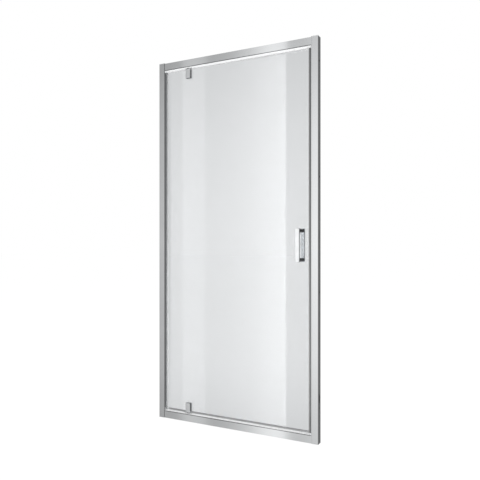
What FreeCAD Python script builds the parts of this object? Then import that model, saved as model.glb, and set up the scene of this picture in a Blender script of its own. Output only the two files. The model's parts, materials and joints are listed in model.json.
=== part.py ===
import FreeCAD, Part
import math
import os
import re
import Sketcher

# Pivot shower door: a framed glass leaf on two pivots, made to stand between two walls.
# Frame of reference, in mm: X to the right as seen from outside, Y into the shower, Z up.
# The origin is the middle of the bottom rail's underside.

doc = FreeCAD.newDocument("pivot_shower_door")

# ---------------------------------------------------------------- driving sizes
SIZES = [
    # overall
    ("overall_width", 900, "outer face to outer face of the wall channels"),
    ("overall_height", 1900, "tray to the top of the post caps"),
    ("frame_depth", 35, "front to back of the wall channels"),
    # wall channels
    ("channel_face", 32, "width of a wall channel seen from the front"),
    ("channel_web", 1.5, "wall side thickness"),
    ("channel_flange", 1.8, "front and back wall thickness"),
    ("channel_edge_radius", 0.8, "rounding of the long outer edges"),
    ("wall_hole_count", 4, "screw holes to the wall in each channel"),
    ("wall_hole_radius", 4, "those holes"),
    ("wall_hole_first", 165, "height of the lowest hole"),
    ("wall_hole_last", 112.3, "top of the post down to the highest hole"),
    ("wall_slot_length", 40, "end to end of the slot above the lowest hole"),
    ("wall_slot_height", 210, "height of its centre"),
    # jambs
    ("jamb_reveal", 3, "jamb that shows beside the channel"),
    ("jamb_web", 2, "thickness of the face towards the opening"),
    ("jamb_flange", 1.6, "thickness of the sides inside the channel"),
    ("jamb_tail_gap", 4, "room left behind the jamb for adjusting"),
    ("telescope_gap", 0.3, "clearance between channel and jamb"),
    ("jamb_fin_length", 2.5, "fin that holds the magnet seal"),
    ("jamb_fin_thickness", 1.2, "thickness of that fin"),
    # rails
    ("rail_height", 40, "height of the top and bottom rails"),
    ("rail_wall", 1.8, "wall thickness of the rails"),
    ("rail_groove_width", 2.4, "shadow line along the front face"),
    ("rail_groove_depth", 1, "depth of the shadow line"),
    ("rail_groove_inset", 2, "shadow line to the inner edge of the rail"),
    ("port_radius", 4.2, "outer radius of the screw ports inside the rails"),
    ("port_sink", 0.6, "how far a port runs into the walls"),
    # post caps
    ("cap_rise", 2.7, "thickness of the cap above the post"),
    ("cap_plug_depth", 8, "plug that goes down into the jamb"),
    ("cap_plug_width", 12, "front to back of the plug"),
    ("cap_plug_gap", 0.3, "clearance of the plug to the jamb's face"),
    # fits shared by all screws
    ("thread_gap", 0.05, "radial gap of a screw in its thread"),
    ("screw_hole_gap", 0.25, "radial gap of a screw in a clearance hole"),
    # corner screws
    ("corner_screw_radius", 2, "shank"),
    ("corner_screw_reach", 20, "length inside the rail's port"),
    ("corner_head_radius", 3.5, "pan head"),
    ("corner_head_height", 2.6, "pan head"),
    # adjuster screws and their caps
    ("adjuster_inset", 250, "first and last adjuster to the ends of the post"),
    ("adjuster_screw_radius", 2, "shank"),
    ("adjuster_screw_length", 12, "under the head"),
    ("adjuster_head_radius", 3.6, "pan head"),
    ("adjuster_head_height", 1.8, "pan head"),
    ("adjuster_cap_radius", 5.5, "snap cap over the head"),
    ("adjuster_cap_wall", 0.9, "wall of the snap cap"),
    ("adjuster_cap_gap", 0.2, "cap to screw head"),
    # leaf
    ("glass_thickness", 5, "toughened glass"),
    ("glass_setback", 27, "frame front to the glass"),
    ("glass_gap", 3, "glass edge to the rails, top and bottom"),
    ("hinge_gap", 3.5, "glass edge to the hinge side jamb"),
    ("glass_corner_radius", 2, "safety corners"),
    ("glass_edge_chamfer", 0.4, "ground edges"),
    ("glass_hole_radius", 6, "all holes in the glass"),
    # pivots
    ("pivot_inset", 174, "wall side of the hinge post to the pivot axis"),
    ("pivot_setback", 18.5, "frame front to the pivot axis"),
    ("block_width", 27.5, "pivot block"),
    ("block_height", 50, "pivot block"),
    ("block_front", 14.5, "thickness of the front half"),
    ("block_back", 4, "thickness of the back half"),
    ("block_back_inset", 3, "back half inside the front half's outline"),
    ("block_corner_radius", 2.5, "upright edges of the outer faces"),
    ("block_edge_radius", 0.8, "edges of the outer faces at the end away from the rail"),
    ("gasket_thickness", 1, "between block and glass"),
    ("gasket_margin", 0.5, "gasket inside the block's outline"),
    ("block_screw_first", 24, "glass edge to the first screw"),
    ("block_screw_pitch", 17, "first to second screw"),
    ("block_screw_radius", 2.4, "shank"),
    ("block_screw_length", 20, "from the back half's face"),
    ("block_screw_head_radius", 4.6, "countersunk head"),
    ("block_screw_tip_gap", 1, "thread beyond the screw's tip"),
    ("sleeve_gap", 0.1, "sleeve to the glass hole"),
    ("pin_radius", 4, "pivot pin"),
    ("pin_socket", 17, "pin inside the block"),
    ("pin_reach", 18, "pin past the glass edge"),
    ("pin_press_gap", 0.02, "pin in the block"),
    ("pin_chamfer", 0.8, "lead of the pin's tip"),
    ("bearing_gap", 0.05, "running gap of the pin, and bush to its seat"),
    ("bush_radius", 7, "bush in the rail"),
    ("bush_length", 14, "below its flange"),
    ("bush_flange_radius", 9, "flange on the rail"),
    ("bush_flange_thickness", 1.5, "flange on the rail"),
    ("thrust_washer_radius", 8.5, "between the block and the bottom bush"),
    ("thrust_gap", 0.2, "washer to the bush's flange"),
    ("holder_length", 50, "pivot holder inside the rail"),
    ("holder_height", 18, "pivot holder inside the rail"),
    ("holder_gap", 0.2, "holder to the rail's walls"),
    ("holder_screw_offset", 17, "pivot axis to the holder's screws"),
    ("holder_screw_radius", 2, "shank"),
    ("holder_screw_length", 12, "over the countersunk head"),
    ("holder_screw_head_radius", 3.5, "countersunk head"),
    # seals
    ("seal_wall", 1, "wall of the seals that clip on the glass"),
    ("drip_seal_leg", 5, "cover of the drip seal on the glass"),
    ("hinge_seal_leg", 3, "cover of the hinge side seal on the glass"),
    ("seal_flare", 1.5, "how far the front lip leans out"),
    ("seal_lip", 0.8, "thickness of the lips' tips"),
    ("seal_tip_gap", 0.5, "lip to the frame"),
    ("seal_end_gap", 0.5, "seal to the piece beside it"),
    ("magnet_leg", 5, "cover of the magnet seal on the glass"),
    ("magnet_wall", 0.8, "wall round the magnet strips"),
    ("magnet_width", 4.5, "magnet strip, across the closing gap"),
    ("magnet_depth", 5, "magnet strip, front to back"),
    ("magnet_play", 0.1, "clearance of the strips and of the fin"),
    ("magnet_gap", 0.6, "between the two magnet seals when shut"),
    # handle
    ("handle_inset", 100, "wall side of the strike post to the handle"),
    ("handle_height", 925, "tray to the middle of the handle"),
    ("bar_length", 160, "handle bar"),
    ("bar_width", 20, "handle bar"),
    ("bar_thickness", 10, "handle bar"),
    ("bar_corner_radius", 3, "corners of the bar's face"),
    ("bar_edge_radius", 1.2, "edge of the bar's outer face"),
    ("post_inset", 10, "end of the bar to the handle post's middle"),
    ("handle_standoff", 28, "glass to bar"),
    ("post_radius", 8, "handle post"),
    ("post_chamfer", 0.6, "ends of the post"),
    ("handle_washer_thickness", 1, "washer on the glass"),
    ("handle_washer_radius", 9, "washer on the glass"),
    ("stud_radius", 3, "stud through the glass"),
    ("stud_socket", 7, "stud inside each bar"),
    ("stud_gap", 0.1, "stud to posts, bushes and sockets"),
    ("grub_radius", 1.5, "grub screw in the back bar"),
    ("grub_length", 5, "grub screw in the back bar"),
]

sizes = doc.addObject("Spreadsheet::Sheet", "Sizes")
for row, (alias, value, note) in enumerate(SIZES, start=1):
    sizes.set(f"A{row}", note)
    sizes.set(f"B{row}", str(value))
    sizes.setAlias(f"B{row}", alias)

# ------------------------------------------- places worked out from the sizes
PLACES = [
    ("half_width", "overall_width / 2"),
    ("half_depth", "frame_depth / 2"),
    ("post_height", "overall_height - cap_rise"),
    ("wall_hole_pitch", "(post_height - wall_hole_first - wall_hole_last) / (wall_hole_count - 1)"),
    # across: from the wall towards the opening
    ("channel_lip", "half_width - channel_face"),
    ("channel_bed", "half_width - channel_web"),
    ("jamb_face", "channel_lip - jamb_reveal"),
    ("jamb_back", "jamb_face + jamb_web"),
    ("jamb_tail", "channel_bed - jamb_tail_gap"),
    ("adjuster_x", "(channel_lip + jamb_tail) / 2"),
    # front to back
    ("channel_inside", "half_depth - channel_flange"),
    ("jamb_side", "channel_inside - telescope_gap"),
    ("jamb_inside", "jamb_side - jamb_flange"),
    ("rail_inside", "jamb_side - rail_wall"),
    ("glass_front", "glass_setback - half_depth"),
    ("glass_back", "glass_front + glass_thickness"),
    ("glass_middle", "glass_front + glass_thickness / 2"),
    ("seal_front", "glass_front - seal_wall"),
    ("seal_back", "glass_back + seal_wall"),
    # screw ports, measured from the rail's outer face and its middle
    ("port_y", "rail_inside - port_radius + port_sink"),
    ("port_z", "rail_wall + port_radius - port_sink"),
    # pivot axis and blocks
    ("pivot_x", "pivot_inset - half_width"),
    ("pivot_y", "pivot_setback - half_depth"),
    ("block_seat_front", "glass_front - gasket_thickness"),
    ("block_seat_back", "glass_back + gasket_thickness"),
    ("block_face_front", "block_seat_front - block_front"),
    ("block_face_back", "block_seat_back + block_back"),
    ("block_thread", "block_screw_length - block_back - 2 * gasket_thickness - glass_thickness"),
    # leaf
    ("glass_bottom", "rail_height + glass_gap"),
    ("glass_top", "post_height - rail_height - glass_gap"),
    ("glass_left", "hinge_gap - jamb_face"),
    ("magnet_bay", "magnet_width + magnet_play"),
    ("fin_slot", "jamb_fin_length + magnet_play"),
    ("strike_seal_x", "jamb_face - fin_slot - magnet_bay - 2 * magnet_wall"),
    ("door_seal_x", "strike_seal_x - magnet_gap"),
    ("glass_right", "door_seal_x - magnet_wall - magnet_bay - seal_wall"),
    ("seal_foot", "rail_height + seal_tip_gap"),
    ("seal_head", "post_height - rail_height - seal_tip_gap"),
    # handle
    ("handle_x", "half_width - handle_inset"),
    ("post_spacing", "bar_length - 2 * post_inset"),
    ("bar_seat_front", "glass_front - handle_standoff"),
    ("bar_seat_back", "glass_back + handle_standoff"),
    ("handle_post_length", "handle_standoff - handle_washer_thickness"),
]

SIZE_NAMES = {alias for alias, _, _ in SIZES}
PLACE_NAMES = {alias for alias, _ in PLACES}


def bound(text):
    """The expression with each name led by the sheet that holds it."""

    def lead(match):
        word = match.group()
        if word in SIZE_NAMES:
            return f"Sizes.{word}"
        if word in PLACE_NAMES:
            return f"Places.{word}"
        return word

    return re.sub(r"[a-z_]+", lead, str(text))


places = doc.addObject("Spreadsheet::Sheet", "Places")
for row, (alias, formula) in enumerate(PLACES, start=1):
    places.setAlias(f"B{row}", alias)
for row, (alias, formula) in enumerate(PLACES, start=1):
    local = bound(formula).replace("Places.", "")
    places.set(f"A{row}", alias)
    places.set(f"B{row}", f"={local}")
doc.recompute()


def value_of(text):
    return float(sizes.evalExpression(bound(text)))


# ---------------------------------------------------------------- sketching
X_AXIS = FreeCAD.Vector(1, 0, 0)
Y_AXIS = FreeCAD.Vector(0, 1, 0)
Z_AXIS = FreeCAD.Vector(0, 0, 1)
PLANE_SIGN = {"XY_Plane": 1, "XZ_Plane": -1, "YZ_Plane": 1}
COUNTERSINK_ANGLE = 90
TOUCHING = 1e-4
SUBPARTS = []
CUTS = []


def new_body(label):
    body = doc.addObject("PartDesign::Body", label)
    body.Label = label
    SUBPARTS.append(body)
    return body


def new_sketch(body, plane, level="0"):
    """An empty sketch on one of the body's own planes, moved along the world axis by level."""
    sketch = body.newObject("Sketcher::SketchObject", f"{body.Name}_sketch")
    support = [item for item in body.Origin.OriginFeatures if item.Role == plane]
    sketch.AttachmentSupport = [(support[0], "")]
    sketch.MapMode = "FlatFace"
    sketch.setExpression("AttachmentOffset.Base.z", bound(f"{PLANE_SIGN[plane]} * ({level})"))
    return sketch


def pin_point(sketch, geometry, point, across, up):
    """Ties one point of the sketch to two expressions."""
    for kind, text in (("DistanceX", across), ("DistanceY", up)):
        rule = Sketcher.Constraint(kind, -1, 1, geometry, point, value_of(text))
        index = sketch.addConstraint(rule)
        sketch.setExpression(f"Constraints[{index}]", bound(text))


def draw_polygon(sketch, corners):
    """A closed outline; each corner is a pair of expressions."""
    spots = [FreeCAD.Vector(value_of(a), value_of(b), 0) for a, b in corners]
    lines = []
    for start, end in zip(spots, spots[1:] + spots[:1]):
        lines.append(sketch.addGeometry(Part.LineSegment(start, end)))
    for line, following in zip(lines, lines[1:] + lines[:1]):
        sketch.addConstraint(Sketcher.Constraint("Coincident", line, 2, following, 1))
    for line, (across, up) in zip(lines, corners):
        pin_point(sketch, line, 1, across, up)


def draw_box(sketch, left, right, low, high):
    draw_polygon(sketch, [(left, low), (right, low), (right, high), (left, high)])


def draw_circle(sketch, across, up, radius):
    centre = FreeCAD.Vector(value_of(across), value_of(up), 0)
    circle = sketch.addGeometry(Part.Circle(centre, Z_AXIS, value_of(radius)))
    pin_point(sketch, circle, 3, across, up)
    index = sketch.addConstraint(Sketcher.Constraint("Radius", circle, value_of(radius)))
    sketch.setExpression(f"Constraints[{index}]", bound(radius))


def draw_upright_slot(sketch, across, up, length, radius):
    """A slot with round ends whose long side runs up the sketch."""
    ends = []
    for side, start in ((1, 0), (-1, math.pi)):
        level = f"{up} + {side} * ({length} / 2 - {radius})"
        centre = FreeCAD.Vector(value_of(across), value_of(level), 0)
        circle = Part.Circle(centre, Z_AXIS, value_of(radius))
        arc = sketch.addGeometry(Part.ArcOfCircle(circle, start, start + math.pi))
        pin_point(sketch, arc, 3, across, level)
        ends.append(arc)
    index = sketch.addConstraint(Sketcher.Constraint("Radius", ends[0], value_of(radius)))
    sketch.setExpression(f"Constraints[{index}]", bound(radius))
    upper, lower = ends
    shape = sketch.Geometry
    for first, second in ((upper, lower), (lower, upper)):
        side = Part.LineSegment(shape[first].EndPoint, shape[second].StartPoint)
        line = sketch.addGeometry(side)
        sketch.addConstraint(Sketcher.Constraint("Tangent", first, 2, line, 1))
        sketch.addConstraint(Sketcher.Constraint("Tangent", line, 2, second, 1))


# ---------------------------------------------------------------- features
def pad(body, sketch, length):
    feature = body.newObject("PartDesign::Pad", f"{body.Name}_pad")
    feature.Profile = sketch
    feature.setExpression("Length", bound(length))
    return feature


def pocket(body, sketch, depth, along_normal=False):
    """A cut from the sketch against its normal, or along it."""
    feature = body.newObject("PartDesign::Pocket", f"{body.Name}_pocket")
    feature.Profile = sketch
    feature.setExpression("Length", bound(depth))
    feature.Reversed = along_normal
    CUTS.append(feature)
    return feature


def countersink(body, sketch, radius, head_radius, depth, along_normal=False):
    """Countersunk screw holes at the circles of the sketch."""
    doc.recompute()
    feature = body.newObject("PartDesign::Hole", f"{body.Name}_hole")
    feature.Profile = sketch
    feature.Reversed = along_normal
    feature.DepthType = "Dimension"
    feature.DrillPoint = "Flat"
    feature.HoleCutType = "Countersink"
    feature.HoleCutCountersinkAngle = COUNTERSINK_ANGLE
    feature.setExpression("Depth", bound(depth))
    feature.setExpression("Diameter", bound(f"2 * ({radius})"))
    feature.setExpression("HoleCutDiameter", bound(f"2 * ({head_radius})"))
    CUTS.append(feature)
    return feature


def edge_names(feature, wanted):
    """Names of the feature's edges whose box passes the test."""
    doc.recompute()
    names = []
    for index, edge in enumerate(feature.Shape.Edges, start=1):
        if wanted(edge.BoundBox):
            names.append(f"Edge{index}")
    return names


def soften(body, kind, names, size):
    """A Fillet or Chamfer on the named edges of the body's last feature."""
    base = body.Tip
    feature = body.newObject(f"PartDesign::{kind}", f"{body.Name}_{kind.lower()}")
    feature.Base = (base, names)
    feature.setExpression("Radius" if kind == "Fillet" else "Size", bound(size))
    doc.recompute()
    return feature


def near(a, b):
    return abs(a - b) < TOUCHING


def turned(label, profile):
    """A body turned about its own Z axis; the profile is a list of (radius, height)."""
    body = doc.addObject("PartDesign::Body", label)
    sketch = new_sketch(body, "XZ_Plane")
    draw_polygon(sketch, profile)
    feature = body.newObject("PartDesign::Revolution", f"{body.Name}_turn")
    feature.Profile = sketch
    feature.ReferenceAxis = (sketch, ["V_Axis"])
    feature.Angle = 360
    return body


TURNS = {
    "+Z": FreeCAD.Rotation(),
    "-Z": FreeCAD.Rotation(X_AXIS, 180),
    "+Y": FreeCAD.Rotation(X_AXIS, -90),
    "-Y": FreeCAD.Rotation(X_AXIS, 90),
    "+X": FreeCAD.Rotation(Y_AXIS, 90),
    "-X": FreeCAD.Rotation(Y_AXIS, -90),
}


def place(item, across, back, up, turn=FreeCAD.Rotation()):
    item.Placement = FreeCAD.Placement(FreeCAD.Vector(), turn)
    for letter, text in zip("xyz", (across, back, up)):
        item.setExpression(f"Placement.Base.{letter}", bound(text))


def keep(item, label):
    """Names a finished piece and puts it on the list of nodes."""
    item.Label = label
    SUBPARTS.append(item)


def group(label, members):
    """Identical pieces that share one node."""
    item = doc.addObject("Part::Compound", label)
    item.Links = members
    keep(item, label)


def tube_profile(inner, outer, low, high):
    """A plain tube, or a rod where the inner radius is zero."""
    return [(inner, low), (outer, low), (outer, high), (inner, high)]


def pan_screw_profile(radius, length, head_radius, head_height):
    """Head below zero, shank above it."""
    return [
        ("0", f"-({head_height})"),
        (head_radius, f"-({head_height})"),
        (head_radius, "0"),
        (radius, "0"),
        (radius, length),
        ("0", length),
    ]


def flat_screw_profile(radius, length, head_radius):
    """Countersunk head flush at zero, shank above it."""
    return [
        ("0", "0"),
        (head_radius, "0"),
        (radius, f"{head_radius} - {radius}"),
        (radius, length),
        ("0", length),
    ]


# Sides of the frame: -1 is the hinge side on the left, 1 the strike side on the right.
SIDES = {"left": -1, "right": 1}
# Ends of the leaf: the glass edge, and the way from it towards the middle of the glass.
ENDS = {"bottom": ("glass_bottom", 1), "top": ("glass_top", -1)}
HALF_TURN = {1: FreeCAD.Rotation(), -1: FreeCAD.Rotation(Y_AXIS, 180)}
WALL_HOLES = [
    f"wall_hole_first + {index} * wall_hole_pitch" for index in range(int(value_of("wall_hole_count")))
]
ADJUSTERS = ["adjuster_inset", "post_height / 2", "post_height - adjuster_inset"]


# ---------------------------------------------------------------- frame
def wall_channel(side):
    """U profile, open towards the opening, screwed to the wall through its web."""
    sign = SIDES[side]
    body = new_body(f"wall_channel_{side}")
    sketch = new_sketch(body, "XY_Plane")
    draw_polygon(
        sketch,
        [
            (f"{sign} * half_width", "-half_depth"),
            (f"{sign} * channel_lip", "-half_depth"),
            (f"{sign} * channel_lip", "-channel_inside"),
            (f"{sign} * channel_bed", "-channel_inside"),
            (f"{sign} * channel_bed", "channel_inside"),
            (f"{sign} * channel_lip", "channel_inside"),
            (f"{sign} * channel_lip", "half_depth"),
            (f"{sign} * half_width", "half_depth"),
        ],
    )
    base = pad(body, sketch, "post_height")
    depth = value_of("half_depth")
    long_edges = edge_names(
        base,
        lambda box: box.ZLength > 1 and near(abs(box.YMin), depth) and near(box.YLength, 0),
    )
    soften(body, "Fillet", long_edges, "channel_edge_radius")

    wall_side = new_sketch(body, "YZ_Plane", f"{sign} * half_width")
    for height in WALL_HOLES:
        draw_circle(wall_side, "0", height, "wall_hole_radius")
    draw_upright_slot(wall_side, "0", "wall_slot_height", "wall_slot_length", "wall_hole_radius")
    pocket(body, wall_side, "channel_web", along_normal=sign < 0)

    inner_side = new_sketch(body, "XZ_Plane", "half_depth")
    for height in ADJUSTERS:
        draw_circle(
            inner_side, f"{sign} * adjuster_x", height, "adjuster_screw_radius + screw_hole_gap"
        )
    pocket(body, inner_side, "channel_flange", along_normal=True)


def jamb(side):
    """C profile that slides in the channel; a fin on the strike side holds the magnet seal."""
    sign = SIDES[side]
    body = new_body(f"jamb_{side}")
    sketch = new_sketch(body, "XY_Plane")
    draw_polygon(
        sketch,
        [
            (f"{sign} * jamb_face", "-jamb_side"),
            (f"{sign} * jamb_face", "jamb_side"),
            (f"{sign} * jamb_tail", "jamb_side"),
            (f"{sign} * jamb_tail", "jamb_inside"),
            (f"{sign} * jamb_back", "jamb_inside"),
            (f"{sign} * jamb_back", "-jamb_inside"),
            (f"{sign} * jamb_tail", "-jamb_inside"),
            (f"{sign} * jamb_tail", "-jamb_side"),
        ],
    )
    pad(body, sketch, "post_height")
    if side == "right":
        fin = new_sketch(body, "XY_Plane", "seal_foot")
        half = "jamb_fin_thickness / 2"
        draw_box(
            fin,
            "jamb_face - jamb_fin_length",
            "jamb_face",
            f"glass_middle - {half}",
            f"glass_middle + {half}",
        )
        pad(body, fin, "seal_head - seal_foot")

    opening_side = new_sketch(body, "YZ_Plane", f"{sign} * jamb_face")
    for front in (-1, 1):
        for height in ("port_z", "post_height - port_z"):
            draw_circle(
                opening_side, f"{front} * port_y", height, "corner_screw_radius + screw_hole_gap"
            )
    pocket(body, opening_side, "jamb_web", along_normal=sign > 0)

    inner_side = new_sketch(body, "XZ_Plane", "jamb_side")
    for height in ADJUSTERS:
        draw_circle(
            inner_side, f"{sign} * adjuster_x", height, "adjuster_screw_radius + thread_gap"
        )
    pocket(body, inner_side, "jamb_flange", along_normal=True)


def rail(end):
    """Hollow rail, drawn with its outer face at zero; the top one is turned over."""
    sign = ENDS[end][1]
    body = new_body(f"{end}_rail")
    pivot = f"{sign} * pivot_x"
    section = new_sketch(body, "YZ_Plane", "-jamb_face")
    groove_high = "rail_height - rail_groove_inset"
    groove_low = "rail_height - rail_groove_inset - rail_groove_width"
    draw_polygon(
        section,
        [
            ("-jamb_side", "0"),
            ("jamb_side", "0"),
            ("jamb_side", "rail_height"),
            ("-jamb_side", "rail_height"),
            ("-jamb_side", groove_high),
            ("rail_groove_depth - jamb_side", groove_high),
            ("rail_groove_depth - jamb_side", groove_low),
            ("-jamb_side", groove_low),
        ],
    )
    draw_box(section, "-rail_inside", "rail_inside", "rail_wall", "rail_height - rail_wall")
    pad(body, section, "2 * jamb_face")

    ports = new_sketch(body, "YZ_Plane", "-jamb_face")
    bores = new_sketch(body, "YZ_Plane", "-jamb_face")
    for front in (-1, 1):
        draw_circle(ports, f"{front} * port_y", "port_z", "port_radius")
        draw_circle(bores, f"{front} * port_y", "port_z", "corner_screw_radius + thread_gap")
    pad(body, ports, "2 * jamb_face")
    pocket(body, bores, "2 * jamb_face", along_normal=True)

    bush_hole = new_sketch(body, "XY_Plane", "rail_height")
    draw_circle(bush_hole, pivot, "pivot_y", "bush_radius + bearing_gap")
    pocket(body, bush_hole, "rail_wall")

    screw_holes = new_sketch(body, "XY_Plane", "rail_height")
    for way in (-1, 1):
        draw_circle(
            screw_holes,
            f"{pivot} + {way} * holder_screw_offset",
            "pivot_y",
            "holder_screw_radius",
        )
    countersink(
        body,
        screw_holes,
        "holder_screw_radius + screw_hole_gap",
        "holder_screw_head_radius + thread_gap",
        "rail_wall",
    )
    level = "0" if end == "bottom" else "post_height"
    place(body, "0", "0", level, HALF_TURN[sign])


def post_cap(side):
    """Flat cap over channel and jamb, with a plug down into the jamb."""
    sign = SIDES[side]
    body = new_body(f"post_cap_{side}")
    plate = new_sketch(body, "XY_Plane", "post_height")
    outer = (f"{sign} * half_width", f"{sign} * jamb_face")
    draw_box(plate, outer[0], outer[1], "-half_depth", "half_depth")
    base = pad(body, plate, "cap_rise")
    top = value_of("overall_height")
    rim = edge_names(base, lambda box: near(box.ZMin, top))
    soften(body, "Fillet", rim, "channel_edge_radius")
    plug = new_sketch(body, "XY_Plane", "post_height - cap_plug_depth")
    draw_box(
        plug,
        f"{sign} * (jamb_back + cap_plug_gap)",
        f"{sign} * jamb_tail",
        "-cap_plug_width / 2",
        "cap_plug_width / 2",
    )
    pad(body, plug, "cap_plug_depth")


def corner_screws(side):
    """Through the jamb's web into the screw ports at both rail ends."""
    sign = SIDES[side]
    turn = TURNS["+X"] if sign < 0 else TURNS["-X"]
    profile = pan_screw_profile(
        "corner_screw_radius",
        "jamb_web + corner_screw_reach",
        "corner_head_radius",
        "corner_head_height",
    )
    members = []
    for front in (-1, 1):
        for height in ("port_z", "post_height - port_z"):
            screw = turned(f"corner_screw_{side}_{len(members)}", profile)
            place(screw, f"{sign} * jamb_back", f"{front} * port_y", height, turn)
            members.append(screw)
    group(f"corner_screws_{side}", members)


def adjusters(side):
    """Screws that lock the jamb in the channel, on the shower side, each under a snap cap."""
    sign = SIDES[side]
    screw_profile = pan_screw_profile(
        "adjuster_screw_radius",
        "adjuster_screw_length",
        "adjuster_head_radius",
        "adjuster_head_height",
    )
    hollow = "adjuster_head_height + adjuster_cap_gap"
    mouth = "adjuster_cap_radius - adjuster_cap_wall"
    rise = f"{hollow} + adjuster_cap_wall"
    cap_profile = [
        (mouth, "0"),
        ("adjuster_cap_radius", "0"),
        ("adjuster_cap_radius", f"{rise} - adjuster_cap_wall / 2"),
        ("adjuster_cap_radius - adjuster_cap_wall / 2", rise),
        ("0", rise),
        ("0", hollow),
        (mouth, hollow),
    ]
    screws, caps = [], []
    for index, height in enumerate(ADJUSTERS):
        screw = turned(f"adjuster_screw_{side}_{index}", screw_profile)
        place(screw, f"{sign} * adjuster_x", "half_depth", height, TURNS["-Y"])
        screws.append(screw)
        cap = turned(f"adjuster_cap_{side}_{index}", cap_profile)
        place(cap, f"{sign} * adjuster_x", "half_depth", height, TURNS["+Y"])
        caps.append(cap)
    group(f"adjuster_screws_{side}", screws)
    group(f"adjuster_caps_{side}", caps)


def strike_magnet_seal():
    """Soft profile on the jamb's fin, with its magnet strip."""
    body = new_body("strike_magnet_holder")
    sketch = new_sketch(body, "XY_Plane", "seal_foot")
    slot_low = "glass_middle - jamb_fin_thickness / 2 - magnet_play"
    slot_high = "glass_middle + jamb_fin_thickness / 2 + magnet_play"
    draw_polygon(
        sketch,
        [
            ("strike_seal_x", "seal_front"),
            ("jamb_face", "seal_front"),
            ("jamb_face", slot_low),
            ("jamb_face - fin_slot", slot_low),
            ("jamb_face - fin_slot", slot_high),
            ("jamb_face", slot_high),
            ("jamb_face", "seal_back"),
            ("strike_seal_x", "seal_back"),
        ],
    )
    magnet_bay_box(sketch, "strike_seal_x + magnet_wall")
    pad(body, sketch, "seal_head - seal_foot")
    magnet_strip("strike_magnet_strip", "strike_seal_x + magnet_wall")


def magnet_bay_box(sketch, left):
    half = "(magnet_depth + magnet_play) / 2"
    draw_box(
        sketch, left, f"{left} + magnet_bay", f"glass_middle - {half}", f"glass_middle + {half}"
    )


def magnet_strip(label, bay_left):
    body = new_body(label)
    sketch = new_sketch(body, "XY_Plane", "seal_foot")
    left = f"{bay_left} + magnet_play / 2"
    half = "magnet_depth / 2"
    draw_box(
        sketch, left, f"{left} + magnet_width", f"glass_middle - {half}", f"glass_middle + {half}"
    )
    pad(body, sketch, "seal_head - seal_foot")


# ------------------------------------------- pivots
# Drawn with the glass edge at z = 0, the pivot axis at x = 0 and the rail below it; the top
# set is the same one turned over about Y.
RAIL_FACE = "-glass_gap"
BLOCK_SCREWS = ["block_screw_first", "block_screw_first + block_screw_pitch"]
BLOCK_INSET = {"front": "0", "back": "block_back_inset"}


def seat_at_end(item, end):
    edge, sign = ENDS[end]
    place(item, "pivot_x", "0", edge, HALF_TURN[sign])


def seat_on_axis(item, end):
    edge, sign = ENDS[end]
    place(item, "pivot_x", "pivot_y", edge, HALF_TURN[sign])


def pivot_holder(end):
    """Block inside the rail that holds the bush."""
    body = new_body(f"{end}_pivot_holder")
    sketch = new_sketch(body, "XY_Plane", f"{RAIL_FACE} - rail_wall - holder_height")
    half_depth = "(rail_inside - holder_gap)"
    half_length = "holder_length / 2"
    draw_box(sketch, f"-{half_length}", half_length, f"-{half_depth}", half_depth)
    draw_circle(sketch, "0", "pivot_y", "bush_radius + bearing_gap")
    for way in (-1, 1):
        draw_circle(
            sketch, f"{way} * holder_screw_offset", "pivot_y", "holder_screw_radius + thread_gap"
        )
    pad(body, sketch, "holder_height")
    seat_at_end(body, end)


def holder_screws(end):
    """Countersunk flush in the rail, threaded in the holder."""
    edge, sign = ENDS[end]
    profile = flat_screw_profile(
        "holder_screw_radius", "holder_screw_length", "holder_screw_head_radius"
    )
    turn = TURNS["-Z"] if sign > 0 else TURNS["+Z"]
    members = []
    for way in (-1, 1):
        screw = turned(f"{end}_holder_screw_{len(members)}", profile)
        across = f"pivot_x + {way} * holder_screw_offset"
        place(screw, across, "pivot_y", f"{edge} - {sign} * glass_gap", turn)
        members.append(screw)
    group(f"{end}_holder_screws", members)


def pivot_bush(end):
    """Flanged acetal bush, pressed through the rail's wall into the holder."""
    bore = "pin_radius + bearing_gap"
    foot = f"{RAIL_FACE} - bush_length"
    crown = f"{RAIL_FACE} + bush_flange_thickness"
    bush = turned(
        f"{end}_pivot_bush",
        [
            (bore, foot),
            ("bush_radius", foot),
            ("bush_radius", RAIL_FACE),
            ("bush_flange_radius", RAIL_FACE),
            ("bush_flange_radius", crown),
            (bore, crown),
        ],
    )
    seat_on_axis(bush, end)
    keep(bush, f"{end}_pivot_bush")


def pivot_pin(end):
    """Steel pin, pressed in the block, running in the bush."""
    tip = "-pin_reach"
    pin = turned(
        f"{end}_pivot_pin",
        [
            ("0", tip),
            ("pin_radius - pin_chamfer", tip),
            ("pin_radius", f"{tip} + pin_chamfer"),
            ("pin_radius", "pin_socket"),
            ("0", "pin_socket"),
        ],
    )
    seat_on_axis(pin, end)
    keep(pin, f"{end}_pivot_pin")


def thrust_washer():
    """Carries the leaf's weight on the flange of the bottom bush."""
    low = f"{RAIL_FACE} + bush_flange_thickness + thrust_gap"
    profile = tube_profile("pin_radius + pin_press_gap", "thrust_washer_radius", low, "0")
    washer = turned("bottom_thrust_washer", profile)
    seat_on_axis(washer, "bottom")
    keep(washer, "bottom_thrust_washer")


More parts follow.
